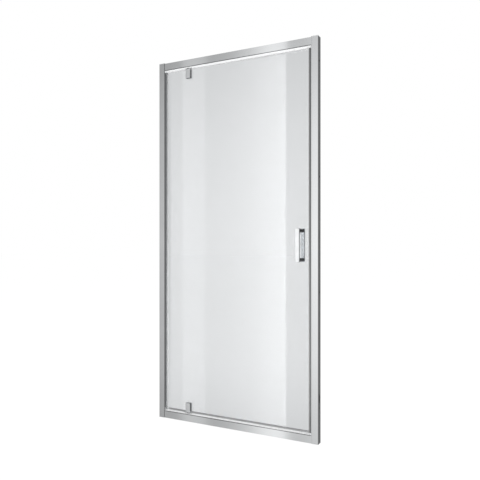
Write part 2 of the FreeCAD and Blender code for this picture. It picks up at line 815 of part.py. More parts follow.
def block_half(end, which):
    """One half of the pivot block, with its outer face rounded; the back half is the smaller."""
    body = new_body(f"{end}_block_{which}")
    seat, face = f"block_seat_{which}", f"block_face_{which}"
    inset = BLOCK_INSET[which]
    half = f"(block_width / 2 - {inset})"
    outline = new_sketch(body, "XY_Plane", inset)
    draw_box(outline, f"-{half}", half, seat, face)
    base = pad(body, outline, f"block_height - 2 * {inset}")
    inner, outer = value_of(seat), value_of(face)
    height, far = value_of(f"block_height - 2 * {inset}"), value_of(f"block_height - {inset}")

    def is_outer_corner(box):
        return near(box.YMin, outer) and near(box.ZLength, height)

    def is_end_rim(box):
        on_the_gasket = near(box.YMin, inner) and near(box.YMax, inner)
        return near(box.ZMin, far) and not on_the_gasket

    upright = edge_names(base, is_outer_corner)
    corners = soften(body, "Fillet", upright, "block_corner_radius")
    rim = edge_names(corners, is_end_rim)
    soften(body, "Fillet", rim, "block_edge_radius")
    if which == "front":
        front_half_bores(body)
    else:
        back_half_holes(body)
    seat_at_end(body, end)


def front_half_bores(body):
    """Blind bore of the pin and blind threads of the two screws."""
    pin_bore = new_sketch(body, "XY_Plane")
    draw_circle(pin_bore, "0", "pivot_y", "pin_radius + pin_press_gap")
    pocket(body, pin_bore, "pin_socket", along_normal=True)
    threads = new_sketch(body, "XZ_Plane", "block_seat_front")
    for height in BLOCK_SCREWS:
        draw_circle(threads, "0", height, "block_screw_radius + thread_gap")
    pocket(body, threads, "block_thread + block_screw_tip_gap", along_normal=True)


def back_half_holes(body):
    """Countersunk clearance holes."""
    holes = new_sketch(body, "XZ_Plane", "block_face_back")
    for height in BLOCK_SCREWS:
        draw_circle(holes, "0", height, "block_screw_radius")
    countersink(
        body,
        holes,
        "block_screw_radius + screw_hole_gap",
        "block_screw_head_radius + thread_gap",
        "block_back",
        along_normal=True,
    )


def block_gasket(end, which):
    """Soft pad between a block half and the glass."""
    body = new_body(f"{end}_gasket_{which}")
    level = "glass_front" if which == "front" else "block_seat_back"
    sketch = new_sketch(body, "XZ_Plane", level)
    margin = f"(gasket_margin + {BLOCK_INSET[which]})"
    half = f"(block_width / 2 - {margin})"
    draw_box(sketch, f"-{half}", half, margin, f"block_height - {margin}")
    for height in BLOCK_SCREWS:
        draw_circle(sketch, "0", height, "block_screw_radius + screw_hole_gap")
    pad(body, sketch, "gasket_thickness")
    seat_at_end(body, end)


def block_fixings(end):
    """Two countersunk screws from the shower side, and sleeves round them in the glass."""
    edge, sign = ENDS[end]
    screw_profile = flat_screw_profile(
        "block_screw_radius", "block_screw_length", "block_screw_head_radius"
    )
    sleeve_profile = tube_profile(
        "block_screw_radius + screw_hole_gap",
        "glass_hole_radius - sleeve_gap",
        "0",
        "glass_thickness",
    )
    screws, sleeves = [], []
    for height in BLOCK_SCREWS:
        level = f"{edge} + {sign} * ({height})"
        screw = turned(f"{end}_block_screw_{len(screws)}", screw_profile)
        place(screw, "pivot_x", "block_face_back", level, TURNS["-Y"])
        screws.append(screw)
        sleeve = turned(f"{end}_block_sleeve_{len(sleeves)}", sleeve_profile)
        place(sleeve, "pivot_x", "glass_front", level, TURNS["+Y"])
        sleeves.append(sleeve)
    group(f"{end}_block_screws", screws)
    group(f"{end}_block_sleeves", sleeves)


# ---------------------------------------------------------------- leaf
def glass_panel():
    """Toughened glass with holes for the pivot blocks and the handle."""
    body = new_body("glass_panel")
    sketch = new_sketch(body, "XZ_Plane", "glass_back")
    draw_box(sketch, "glass_left", "glass_right", "glass_bottom", "glass_top")
    for edge, sign in ENDS.values():
        for height in BLOCK_SCREWS:
            draw_circle(sketch, "pivot_x", f"{edge} + {sign} * ({height})", "glass_hole_radius")
    for way in (-1, 1):
        level = f"handle_height + {way} * post_spacing / 2"
        draw_circle(sketch, "handle_x", level, "glass_hole_radius")
    base = pad(body, sketch, "glass_thickness")
    left, right = value_of("glass_left"), value_of("glass_right")
    deep = value_of("glass_thickness")
    corners = edge_names(
        base,
        lambda box: near(box.YLength, deep) and (near(box.XMin, left) or near(box.XMax, right)),
    )
    rounded = soften(body, "Fillet", corners, "glass_corner_radius")
    ground = edge_names(rounded, lambda box: near(box.YLength, 0))
    soften(body, "Chamfer", ground, "glass_edge_chamfer")


def clip_seal_outline(leg, reach):
    """Outline of a seal clipped on a glass edge: (distance past the edge, place front to back)."""
    return [
        (f"-{leg}", "seal_front"),
        ("seal_wall / 2", "seal_front"),
        (reach, "seal_front - seal_flare"),
        (reach, "seal_front - seal_flare + seal_lip"),
        ("seal_wall", "glass_front"),
        ("seal_wall", "glass_back"),
        (reach, "seal_back - seal_lip"),
        (reach, "seal_back"),
        (f"-{leg}", "seal_back"),
        (f"-{leg}", "glass_back"),
        ("0", "glass_back"),
        ("0", "glass_front"),
        (f"-{leg}", "glass_front"),
    ]


def drip_seal(label, left, right):
    """Clipped on the bottom edge of the glass, its two lips just above the rail."""
    body = new_body(label)
    sketch = new_sketch(body, "YZ_Plane", left)
    outline = clip_seal_outline("drip_seal_leg", "glass_gap - seal_tip_gap")
    draw_polygon(sketch, [(y, f"glass_bottom - ({past})") for past, y in outline])
    pad(body, sketch, f"({right}) - ({left})")


def hinge_edge_seal():
    """Clipped on the hinge side edge, full height of the opening."""
    body = new_body("hinge_edge_seal")
    sketch = new_sketch(body, "XY_Plane", "seal_foot")
    outline = clip_seal_outline("hinge_seal_leg", "hinge_gap - seal_tip_gap")
    draw_polygon(sketch, [(f"glass_left - ({past})", y) for past, y in outline])
    pad(body, sketch, "seal_head - seal_foot")


def door_magnet_seal():
    """Clipped on the closing edge, with its magnet strip."""
    body = new_body("door_magnet_holder")
    sketch = new_sketch(body, "XY_Plane", "seal_foot")
    draw_polygon(
        sketch,
        [
            ("glass_right - magnet_leg", "seal_front"),
            ("door_seal_x", "seal_front"),
            ("door_seal_x", "seal_back"),
            ("glass_right - magnet_leg", "seal_back"),
            ("glass_right - magnet_leg", "glass_back"),
            ("glass_right", "glass_back"),
            ("glass_right", "glass_front"),
            ("glass_right - magnet_leg", "glass_front"),
        ],
    )
    magnet_bay_box(sketch, "glass_right + seal_wall")
    pad(body, sketch, "seal_head - seal_foot")
    magnet_strip("door_magnet_strip", "glass_right + seal_wall")


# ---------------------------------------------------------------- handle
POSTS = {"upper": "handle_height + post_spacing / 2", "lower": "handle_height - post_spacing / 2"}


def handle_bar(which):
    """Flat bar with rounded corners; the back one has grub screws that lock the studs."""
    body = new_body(f"handle_bar_{which}")
    seat = f"bar_seat_{which}"
    outer = f"{seat} - bar_thickness" if which == "front" else f"{seat} + bar_thickness"
    high_side = seat if which == "front" else outer
    outline = new_sketch(body, "XZ_Plane", high_side)
    draw_box(
        outline,
        "handle_x - bar_width / 2",
        "handle_x + bar_width / 2",
        "handle_height - bar_length / 2",
        "handle_height + bar_length / 2",
    )
    base = pad(body, outline, "bar_thickness")
    thickness = value_of("bar_thickness")
    corners = edge_names(base, lambda box: near(box.YLength, thickness))
    rounded = soften(body, "Fillet", corners, "bar_corner_radius")
    face = value_of(outer)
    rim = edge_names(rounded, lambda box: near(box.YLength, 0) and near(box.YMin, face))
    soften(body, "Fillet", rim, "bar_edge_radius")

    sockets = new_sketch(body, "XZ_Plane", seat)
    for height in POSTS.values():
        draw_circle(sockets, "handle_x", height, "stud_radius + stud_gap")
    pocket(body, sockets, "stud_socket", along_normal=which == "front")
    if which == "back":
        bar_middle = "bar_seat_back + bar_thickness / 2"
        side = new_sketch(body, "YZ_Plane", "handle_x - bar_width / 2")
        for height in POSTS.values():
            draw_circle(side, bar_middle, height, "grub_radius + thread_gap")
        pocket(body, side, "bar_width / 2", along_normal=True)


def handle_post(which, level):
    """Round tube between a bar and the washer on the glass."""
    bore = "stud_radius + stud_gap"
    length = "handle_post_length"
    post = turned(
        f"handle_post_{which}_{level}",
        [
            (bore, "0"),
            ("post_radius - post_chamfer", "0"),
            ("post_radius", "post_chamfer"),
            ("post_radius", f"{length} - post_chamfer"),
            ("post_radius - post_chamfer", length),
            (bore, length),
        ],
    )
    back = "bar_seat_front" if which == "front" else "bar_seat_back"
    turn = TURNS["+Y"] if which == "front" else TURNS["-Y"]
    place(post, "handle_x", back, POSTS[level], turn)
    keep(post, f"handle_post_{which}_{level}")


def handle_washers(which):
    profile = tube_profile(
        "stud_radius + stud_gap", "handle_washer_radius", "0", "handle_washer_thickness"
    )
    back = "glass_front" if which == "front" else "glass_back"
    turn = TURNS["-Y"] if which == "front" else TURNS["+Y"]
    members = []
    for height in POSTS.values():
        washer = turned(f"handle_washer_{which}_{len(members)}", profile)
        place(washer, "handle_x", back, height, turn)
        members.append(washer)
    group(f"handle_washers_{which}", members)


def handle_fixings():
    """Studs from bar to bar, bushes round them in the glass, grub screws in the back bar."""
    stud_start = "bar_seat_front - stud_socket + stud_gap"
    stud_length = "bar_seat_back - bar_seat_front + 2 * (stud_socket - stud_gap)"
    stud_profile = tube_profile("0", "stud_radius", "0", stud_length)
    bush_profile = tube_profile(
        "stud_radius + stud_gap", "glass_hole_radius - sleeve_gap", "0", "glass_thickness"
    )
    grub_profile = tube_profile("0", "grub_radius", "0", "grub_length")
    studs, bushes, grubs = [], [], []
    for height in POSTS.values():
        stud = turned(f"handle_stud_{len(studs)}", stud_profile)
        place(stud, "handle_x", stud_start, height, TURNS["+Y"])
        studs.append(stud)
        bush = turned(f"handle_bush_{len(bushes)}", bush_profile)
        place(bush, "handle_x", "glass_front", height, TURNS["+Y"])
        bushes.append(bush)
        grub = turned(f"handle_grub_{len(grubs)}", grub_profile)
        tip = "handle_x - stud_radius - grub_length - stud_gap"
        place(grub, tip, "bar_seat_back + bar_thickness / 2", height, TURNS["+X"])
        grubs.append(grub)
    group("handle_studs", studs)
    group("handle_glass_bushes", bushes)
    group("handle_grub_screws", grubs)


# ---------------------------------------------------------------- build
for side in SIDES:
    wall_channel(side)
    jamb(side)
    post_cap(side)
    corner_screws(side)
    adjusters(side)
for end in ENDS:
    rail(end)
    pivot_holder(end)
    holder_screws(end)
    pivot_bush(end)
    pivot_pin(end)
    for which in ("front", "back"):
        block_half(end, which)
        block_gasket(end, which)
    block_fixings(end)
thrust_washer()
strike_magnet_seal()
glass_panel()
block_left = "pivot_x - block_width / 2 - seal_end_gap"
block_right = "pivot_x + block_width / 2 + seal_end_gap"
drip_seal("drip_seal_short", "glass_left + hinge_seal_leg + seal_end_gap", block_left)
drip_seal("drip_seal_long", block_right, "glass_right - magnet_leg - seal_end_gap")
hinge_edge_seal()
door_magnet_seal()
for which in ("front", "back"):
    handle_bar(which)
    handle_washers(which)
    for level in POSTS:
        handle_post(which, level)
handle_fixings()
doc.recompute()

# ---------------------------------------------------------------- tests, then files
for item in doc.Objects:
    if {"Invalid", "Error"} & set(item.State):
        raise RuntimeError(f"{item.Label} failed: {item.State}")
for cut in CUTS:
    if cut.Shape.Volume >= cut.BaseFeature.Shape.Volume - 1e-6:
        raise RuntimeError(f"{cut.Label} cuts nothing")
for item in SUBPARTS:
    if item.Shape.isNull() or not item.Shape.isValid():
        raise RuntimeError(f"{item.Label} has no sound shape")

os.makedirs("parts", exist_ok=True)
for item in SUBPARTS:
    item.Shape.exportStep(f"parts/{item.Label}.step")
print(f"{len(SUBPARTS)} sub-parts written")
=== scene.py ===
import json
import math

import bmesh
import bpy
from mathutils import Matrix, Vector


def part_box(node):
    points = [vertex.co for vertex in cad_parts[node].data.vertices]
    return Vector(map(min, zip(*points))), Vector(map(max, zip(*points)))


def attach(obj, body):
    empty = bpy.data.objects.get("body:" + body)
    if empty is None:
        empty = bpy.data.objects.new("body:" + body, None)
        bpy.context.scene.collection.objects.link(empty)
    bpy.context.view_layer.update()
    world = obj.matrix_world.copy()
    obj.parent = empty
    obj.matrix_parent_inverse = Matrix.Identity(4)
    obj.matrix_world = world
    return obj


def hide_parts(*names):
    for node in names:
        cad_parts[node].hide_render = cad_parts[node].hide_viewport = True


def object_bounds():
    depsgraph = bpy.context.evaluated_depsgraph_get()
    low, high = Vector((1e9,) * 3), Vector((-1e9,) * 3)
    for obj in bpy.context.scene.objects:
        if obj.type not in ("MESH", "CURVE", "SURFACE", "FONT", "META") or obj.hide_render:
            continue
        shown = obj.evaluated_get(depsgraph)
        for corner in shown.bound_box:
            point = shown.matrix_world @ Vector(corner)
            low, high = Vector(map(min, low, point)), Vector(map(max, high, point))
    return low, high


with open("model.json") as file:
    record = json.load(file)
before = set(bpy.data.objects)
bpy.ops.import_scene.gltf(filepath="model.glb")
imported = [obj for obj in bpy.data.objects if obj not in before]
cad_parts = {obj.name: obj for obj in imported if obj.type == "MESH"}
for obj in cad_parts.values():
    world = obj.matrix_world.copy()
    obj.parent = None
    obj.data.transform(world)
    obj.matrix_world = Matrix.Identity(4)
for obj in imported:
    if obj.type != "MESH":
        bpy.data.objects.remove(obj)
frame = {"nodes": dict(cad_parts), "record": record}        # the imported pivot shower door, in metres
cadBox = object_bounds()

nodes = frame["nodes"]
mm = 0.001
tiny = 0.01 * mm         # places nearer than this are the same place
mergeGap = 0.002 * mm    # vertices nearer than this become one


# small helpers that build node trees

def startMaterial(name):
    material = bpy.data.materials.new(name)
    material.use_nodes = True
    tree = material.node_tree
    tree.nodes.clear()
    output = tree.nodes.new("ShaderNodeOutputMaterial")
    shader = tree.nodes.new("ShaderNodeBsdfPrincipled")
    tree.links.new(shader.outputs[0], output.inputs[0])
    return material, tree, shader


def addNode(tree, kind, settings=None, **inputs):
    # inputs go by their name, or by their number as _0, _1 and so on
    node = tree.nodes.new("ShaderNode" + kind)
    for key, value in (settings or {}).items():
        setattr(node, key, value)
    for key, value in inputs.items():
        socket = node.inputs[int(key[1:])] if key[1:].isdigit() else node.inputs[key]
        if isinstance(value, bpy.types.NodeSocket):
            tree.links.new(value, socket)
        else:
            socket.default_value = value
    return node


def calculate(tree, operation, first, second=0.0):
    return addNode(tree, "Math", {"operation": operation}, _0=first, _1=second).outputs[0]


def noise(tree, detail, scale=1.0, stretch=(1, 1, 1)):
    # noise in the piece's own coordinates, in metres, stretched
    place = addNode(tree, "TexCoord")
    mapped = addNode(tree, "Mapping", None, Vector=place.outputs["Object"], Scale=stretch)
    texture = addNode(tree, "TexNoise", None, Vector=mapped.outputs[0], Detail=detail, Scale=scale)
    return texture.outputs[0]


def addBump(tree, shader, height, strength, depth):
    bump = addNode(tree, "Bump", None, Height=height, Strength=strength, Distance=depth)
    tree.links.new(bump.outputs[0], shader.inputs["Normal"])


def remap(tree, value, fromLow, fromHigh, toLow, toHigh):
    node = addNode(tree, "MapRange", None, Value=value)
    for index, number in enumerate((fromLow, fromHigh, toLow, toHigh), start=1):
        node.inputs[index].default_value = number
    return node.outputs[0]


def insideBands(tree, bands):
    # 1 where the piece's own coordinates lie in every band (axis, mirror plane, nearest, farthest), else 0
    parts = addNode(tree, "SeparateXYZ", None, _0=addNode(tree, "TexCoord").outputs["Object"])
    mask = 1.0
    for axis, mirror, nearest, farthest in bands:
        offset = calculate(tree, "SUBTRACT", parts.outputs["XYZ".index(axis)], mirror)
        away = calculate(tree, "ABSOLUTE", offset)
        middle, reach = (nearest + farthest) / 2, (farthest - nearest) / 2
        near = addNode(tree, "Math", {"operation": "COMPARE"}, _0=away, _1=middle, _2=reach)
        mask = calculate(tree, "MULTIPLY", mask, near.outputs[0])
    return mask


def blendColours(tree, factor, first, second):
    node = addNode(tree, "Mix", {"data_type": "RGBA"})
    tree.links.new(factor, node.inputs[0])
    for index, colour in ((6, first), (7, second)):
        if isinstance(colour, bpy.types.NodeSocket):
            tree.links.new(colour, node.inputs[index])
        else:
            node.inputs[index].default_value = (*colour, 1)
    return node.outputs[2]


noiseSpan = (0.3, 0.7)       # where most of a noise's values lie
markSpan = (0.35, 0.7)       # the same, with the wipe marks kept sparse
grainDepth = 0.2 * mm
hairDepth = 0.1 * mm


# bright extrusions, chrome and screw steel

def extrudedMetal(name, look):
    # bright anodised extrusion: die lines along one axis, faint cloudiness
    material, tree, shader = startMaterial(name)
    stretch = [look["linesPerMetre"]] * 3
    stretch["XYZ".index(look["along"])] = look["lineStretch"]
    lines = noise(tree, detail=3.0, stretch=stretch)
    clouds = noise(tree, detail=4.0, scale=look["cloudScale"])
    lineRough = remap(tree, lines, *noiseSpan, -look["lineRoughness"], look["lineRoughness"])
    cloudRough = remap(tree, clouds, *noiseSpan, *look["roughness"])
    rough = calculate(tree, "ADD", lineRough, cloudRough)
    tone = blendColours(tree, clouds, look["toneDark"], look["toneLight"])
    addBump(tree, shader, lines, look["bump"], grainDepth)
    if "paintedLightTone" in look:
        # painted light: faces that look up or down get a pale, rougher, barely metallic finish that stands
        # in for light falling on them
        normal = addNode(tree, "SeparateXYZ", None, _0=addNode(tree, "TexCoord").outputs["Normal"])
        upright = calculate(tree, "ABSOLUTE", normal.outputs[2])
        level = calculate(tree, "GREATER_THAN", upright, look["levelFacesFrom"])
        tone = blendColours(tree, level, tone, look["paintedLightTone"])
        rough = calculate(tree, "ADD", remap(tree, level, 0, 1, 0, look["levelFacesRoughness"]), rough)
        metallic = remap(tree, level, 0, 1, 1.0, look["levelFacesMetallic"])
        tree.links.new(metallic, shader.inputs["Metallic"])
    else:
        shader.inputs["Metallic"].default_value = 1.0
    # painted shade: a near-black tone, with added roughness, in the recesses and joints where shade falls
    paintedShade = 0.0
    for bands in look["paintedShadePlaces"]:
        paintedShade = calculate(tree, "MAXIMUM", paintedShade, insideBands(tree, bands))
    tone = blendColours(tree, paintedShade, tone, look["paintedShadeTone"])
    rough = calculate(tree, "ADD", calculate(tree, "MULTIPLY", paintedShade, look["paintedShadeRoughness"]), rough)
    tree.links.new(rough, shader.inputs["Roughness"])
    tree.links.new(tone, shader.inputs["Base Color"])
    return material


wallSide = cadBox[1].x
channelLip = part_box("wall_channel_right")[0].x
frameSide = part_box("jamb_left")[1].y      # front and back of jambs and rails, from the frame's middle
postMiddle = sum(corner.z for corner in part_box("wall_channel_left")) / 2

# where shade is painted on the extrusions
paintedShadeReach = {                    # all in mm
    "jambWeb": 2.1,              # the post's inside starts this far past the rail's end
    "skin": 0.03,                # and ends this far short of the faces round it
    "jointAcross": (-0.65, 0.25),    # joint of jamb and channel, from the channel's lip
    "jointDeep": (-0.2, 2.0),        # and outwards from the jamb's side
    "grooveInset": 2.0,          # shadow line along a rail, from the rail's inner edge
    "grooveWidth": 2.4,
    "grooveDepth": 1.0,
    "grooveMargin": 0.05,
}


def spanFrom(start, low, high):
    # both ends of a span given in mm, from a start in metres
    return start + low * mm, start + high * mm


def postPaintedShadePlaces(look):
    # painted shade inside the posts, with the walls of their screw holes, and in the joint of jamb and
    # channel
    skin = look["skin"] * mm
    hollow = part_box("top_rail")[1].x + look["jambWeb"] * mm
    across = spanFrom(channelLip, *look["jointAcross"])
    deep = spanFrom(frameSide, *look["jointDeep"])
    return [
        [("X", 0, hollow + skin, wallSide - skin), ("Y", 0, skin - frameSide, frameSide - skin)],
        [("X", 0, *across), ("Y", 0, *deep)],
    ]


def railPaintedShadePlaces(look):
    # painted shade inside the shadow line
    margin = look["grooveMargin"]
    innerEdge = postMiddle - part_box("bottom_rail")[1].z
    start = innerEdge + look["grooveInset"] * mm
    across = spanFrom(start, -margin, look["grooveWidth"] + margin)
    deep = spanFrom(frameSide, -look["grooveDepth"] - margin, -margin)
    return [[("Z", postMiddle, *across), ("Y", 0, *deep)]]


extrusionLook = {
    "along": "Z",
    "linesPerMetre": 1400,
    "lineStretch": 3,
    "cloudScale": 9,
    "roughness": (0.05, 0.08),
    "lineRoughness": 0.015,
    "toneDark": (0.60, 0.61, 0.62),
    "toneLight": (0.66, 0.67, 0.675),
    "bump": 0.02,
    # painted shade: the near-black tone of the recesses
    "paintedShadeTone": (0.05, 0.05, 0.052),
    "paintedShadeRoughness": 0.4,
    "paintedShadePlaces": postPaintedShadePlaces(paintedShadeReach),
}
railLook = {
    **extrusionLook,
    "along": "X",
    # painted light: the faces that look up or down are pale and barely metallic
    "levelFacesFrom": 0.7,            # how squarely a face looks up or down
    "levelFacesRoughness": 0.22,
    "levelFacesMetallic": 0.1,
    "paintedLightTone": (0.92, 0.925, 0.93),
    "paintedShadePlaces": railPaintedShadePlaces(paintedShadeReach),
}
uprightMetal = extrudedMetal("brightAluminiumUpright", extrusionLook)
levelMetal = extrudedMetal("brightAluminiumLevel", railLook)


def plainMetal(name, look):
    # polished or turned metal: wipe marks in the gloss, hairlines in the normal
    material, tree, shader = startMaterial(name)
    marks = noise(tree, detail=5.0, scale=look["markScale"])
    rough = remap(tree, marks, *markSpan, *look["roughness"])
    tree.links.new(rough, shader.inputs["Roughness"])
    tone = blendColours(tree, marks, look["toneDark"], look["toneLight"])
    tree.links.new(tone, shader.inputs["Base Color"])
    hairs = noise(tree, detail=2.0, stretch=look["hairStretch"])
    addBump(tree, shader, hairs, look["bump"], hairDepth)
    shader.inputs["Metallic"].default_value = 1.0
    return material


chromeLook = {
    "markScale": 45,
    "roughness": (0.08, 0.13),
    "toneDark": (0.70, 0.71, 0.72),
    "toneLight": (0.78, 0.79, 0.80),
    "hairStretch": (900, 900, 60),
    "bump": 0.006,
}
satinLook = {
    **chromeLook,
    "toneDark": (0.60, 0.61, 0.62),
    "toneLight": (0.67, 0.68, 0.69),
}
smokedLook = {
    **chromeLook,
    "roughness": (0.12, 0.2),
    "toneDark": (0.13, 0.13, 0.135),
    "toneLight": (0.18, 0.18, 0.185),
}
steelLook = {
    "markScale": 120,
    "roughness": (0.18, 0.34),
    "toneDark": (0.50, 0.50, 0.50),
    "toneLight": (0.62, 0.62, 0.61),
    "hairStretch": (2500, 2500, 2500),
    "bump": 0.12,
}
chromePlate = plainMetal("chromePlate", chromeLook)
blockMetal = plainMetal("satinChrome", satinLook)
smokedChrome = plainMetal("smokedChrome", smokedLook)
screwSteel = plainMetal("screwSteel", steelLook)


# glass, seal vinyls, rubbers and plastics

glassLook = {
    "tint": (0.632, 0.643, 0.653),
    "ior": 1.52,
    "waveScale": 3.0,            # roller waves of toughened glass, per metre
    "waveStretch": (1, 1, 2.4),
    "waveBump": 0.004,
    "waveDepth": 1.0,            # mm
}


def clearGlass(name, look):
    material, tree, shader = startMaterial(name)
    shader.inputs["Base Color"].default_value = (*look["tint"], 1)
    shader.inputs["Transmission Weight"].default_value = 1.0
    shader.inputs["Roughness"].default_value = 0.0
    shader.inputs["IOR"].default_value = look["ior"]
    waves = noise(tree, detail=0.0, scale=look["waveScale"], stretch=look["waveStretch"])
    addBump(tree, shader, waves, look["waveBump"], look["waveDepth"] * mm)
    return material


leafGlass = clearGlass("leafGlass", glassLook)


def softPlastic(name, look):
    # moulded or extruded plastic: uneven colour and a fine grain
    material, tree, shader = startMaterial(name)
    patches = noise(tree, detail=3.0, scale=look["patchScale"])
    tone = blendColours(tree, patches, look["toneDark"], look["toneLight"])
    tree.links.new(tone, shader.inputs["Base Color"])
    grain = noise(tree, detail=2.0, stretch=look["grainStretch"])
    rough = remap(tree, grain, *noiseSpan, *look["roughness"])
    tree.links.new(rough, shader.inputs["Roughness"])
    addBump(tree, shader, grain, look["bump"], grainDepth)
    shader.inputs["Alpha"].default_value = look.get("solidity", 1.0)
    shader.inputs["Metallic"].default_value = look.get("metallic", 0.0)
    return material


sealLook = {
    "patchScale": 30,
    "toneDark": (0.16, 0.163, 0.166),
    "toneLight": (0.21, 0.213, 0.216),
    "grainStretch": (3000, 3000, 3000),
    "roughness": (0.35, 0.5),
    "bump": 0.1,
}
capLook = {
    "patchScale": 60,
    "toneDark": (0.52, 0.525, 0.53),
    "toneLight": (0.58, 0.585, 0.59),
    "grainStretch": (5000, 5000, 5000),
    "roughness": (0.22, 0.32),
    "bump": 0.06,
    "metallic": 0.6,
}


def coolGrey(tone):
    return (tone, tone * 1.01, tone * 1.02)


def sealVariant(name, dark, light, **changes):
    tones = {"toneDark": coolGrey(dark), "toneLight": coolGrey(light)}
    return softPlastic(name, {**sealLook, **tones, **changes})


dripSealVinyl = softPlastic("greyVinyl", sealLook)
magnetSealVinyl = sealVariant("darkVinyl", 0.06, 0.08)
clipVinyl = sealVariant("clipVinyl", 0.12, 0.16)
hingeSealVinyl = sealVariant("milkyVinyl", 0.82, 0.90, solidity=0.3, roughness=(0.12, 0.2), bump=0.03)
clearVinyl = sealVariant("clearVinyl", 0.82, 0.90, solidity=0.06, roughness=(0.08, 0.14), bump=0.03)
gasketRubber = sealVariant("gasketRubber", 0.10, 0.14)
magnetRubber = sealVariant("magnetRubber", 0.035, 0.05)
darkAcetal = sealVariant("darkAcetal", 0.018, 0.03)
sleeveNylon = sealVariant("sleeveNylon", 0.62, 0.72)
washerVinyl = sealVariant("washerVinyl", 0.05, 0.08)
capPlastic = softPlastic("silverPlastic", capLook)

slotFinish = {
    "bright_aluminium": uprightMetal,
    "cap_plastic": capPlastic,
    "stainless_steel": screwSteel,
    "nylon": sleeveNylon,
    "black_acetal": darkAcetal,
    "dark_plastic": washerVinyl,
    "grey_seal": dripSealVinyl,
    "clear_seal": hingeSealVinyl,
    "dark_seal": magnetSealVinyl,
    "gasket_rubber": gasketRubber,
    "magnet_rubber": magnetRubber,
    "chrome_plate": chromePlate,
    "clear_glass": leafGlass,
}
nodeFinish = {"top_rail": levelMetal, "bottom_rail": levelMetal}
slotOf = {part["node"]: part["material_slot"] for part in frame["record"]["subparts"]}
for name, slotName in slotOf.items():
    cadPiece = nodes[name]
    finish = nodeFinish.get(name, slotFinish[slotName])
    if not cadPiece.material_slots:
        cadPiece.data.materials.append(finish)
    for place in cadPiece.material_slots:
        place.material = finish
print("materials on the packed pieces")


# helpers for shaping pieces with bmesh

bodyOf = {name: body for body, names in frame["record"]["behaviour"]["bodies"].items() for name in names}
sharpAngle = math.radians(32)
fullTurn = 2 * math.pi
cutterLead = 1.0         # mm that a cutter stands out of the face it enters


def linked(name, shape):
    mesh = bpy.data.meshes.new(name)
    shape.to_mesh(mesh)
    shape.free()
    piece = bpy.data.objects.new(name, mesh)
    bpy.context.scene.collection.objects.link(piece)
    return piece


def finishPiece(name, shape, replaced, finish=None):
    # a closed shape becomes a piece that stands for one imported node
    bmesh.ops.remove_doubles(shape, verts=shape.verts, dist=mergeGap)
    bmesh.ops.recalc_face_normals(shape, faces=shape.faces)
    piece = linked(name, shape)
    piece.data.shade_smooth()
    piece.data.set_sharp_from_angle(angle=sharpAngle)
    piece.data.materials.append(finish or slotFinish[slotOf[replaced]])
    flats = piece.modifiers.new("flatFaces", "WEIGHTED_NORMAL")     # broad faces stay flat beside roundings
    flats.keep_sharp = True
    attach(piece, bodyOf[replaced])
    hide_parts(replaced)
    return piece


def rounded(shape, edges, radius, segments=4):
    bmesh.ops.bevel(shape, geom=edges, offset=radius, offset_type="OFFSET", affect="EDGES",
                    segments=segments, profile=0.5, material=-1)


def boxShape(low, high):
    shape = bmesh.new()
    bmesh.ops.create_cube(shape, size=1)
    bmesh.ops.scale(shape, verts=shape.verts, vec=high - low)
    bmesh.ops.translate(shape, verts=shape.verts, vec=(low + high) / 2)
    return shape


def edgesWhere(shape, test):
    return [edge for edge in shape.edges if test(*(vert.co for vert in edge.verts))]


def bothAt(a, b, axis, level):
    # an edge's two ends lie at the same level on an axis
    return abs(getattr(a, axis) - level) < tiny and abs(getattr(b, axis) - level) < tiny


def vertsIn(geometry):
    return [item for item in geometry if isinstance(item, bmesh.types.BMVert)]


def openEdgesIn(geometry):
    return [item for item in geometry if isinstance(item, bmesh.types.BMEdge) and item.is_boundary]


def turnedShape(profile, steps=48):
    # spins (radius, height) pairs in mm about Z
    shape = bmesh.new()
    verts = [shape.verts.new((radius * mm, 0, height * mm)) for radius, height in profile]
    for first, second in zip(verts, verts[1:]):
        shape.edges.new((first, second))
    bmesh.ops.spin(shape, geom=shape.verts[:] + shape.edges[:], axis=(0, 0, 1), cent=(0, 0, 0),
                   angle=fullTurn, steps=steps, use_merge=True)
    bmesh.ops.remove_doubles(shape, verts=shape.verts, dist=mergeGap)
    return shape


def boreCutter(radius, depth, steps=24):
    return turnedShape([(0, -cutterLead), (radius, -cutterLead), (radius, depth), (0, depth)], steps)


def placed(shape, at, toward):
    # turns +Z to point the given way, then moves to the place
    turn = Vector(toward).to_track_quat("Z", "X").to_matrix().to_4x4()
    bmesh.ops.transform(shape, matrix=Matrix.Translation(at) @ turn, verts=shape.verts)
    return shape


def joined(shapes):
    whole = bmesh.new()
    for shape in shapes:
        mesh = bpy.data.meshes.new("part")
        shape.to_mesh(mesh)
        shape.free()
        whole.from_mesh(mesh)
        bpy.data.meshes.remove(mesh)
    return whole


def combined(shape, other, operation):
    # DIFFERENCE takes the other shape out of the first, and UNION adds it
    stock, tool = linked("stock", shape), linked("tool", other)
    cut = stock.modifiers.new("cut", "BOOLEAN")
    cut.object = tool
    cut.solver = "EXACT"
    cut.operation = operation
    bpy.context.view_layer.update()
    seen = stock.evaluated_get(bpy.context.evaluated_depsgraph_get())
    mesh = bpy.data.meshes.new_from_object(seen)
    result = bmesh.new()
    result.from_mesh(mesh)
    for leftover in (stock, tool):
        bpy.data.meshes.remove(leftover.data)
    bpy.data.meshes.remove(mesh)
    return result


def extruded(outline, place, along, holes=()):
    # a profile, with any holes through it, drawn out along a vector; place maps its (across, up) in mm
    shape = bmesh.new()
    edges = []
    for loop in (outline, *holes):
        verts = [shape.verts.new(place(across, up)) for across, up in loop]
        edges += [shape.edges.new((verts[index - 1], verts[index])) for index in range(len(verts))]
    bmesh.ops.triangle_fill(shape, use_beauty=True, use_dissolve=True, edges=edges)
    drawn = bmesh.ops.extrude_face_region(shape, geom=shape.faces[:])["geom"]
    bmesh.ops.translate(shape, verts=vertsIn(drawn), vec=along)
    bmesh.ops.recalc_face_normals(shape, faces=shape.faces)
    return shape


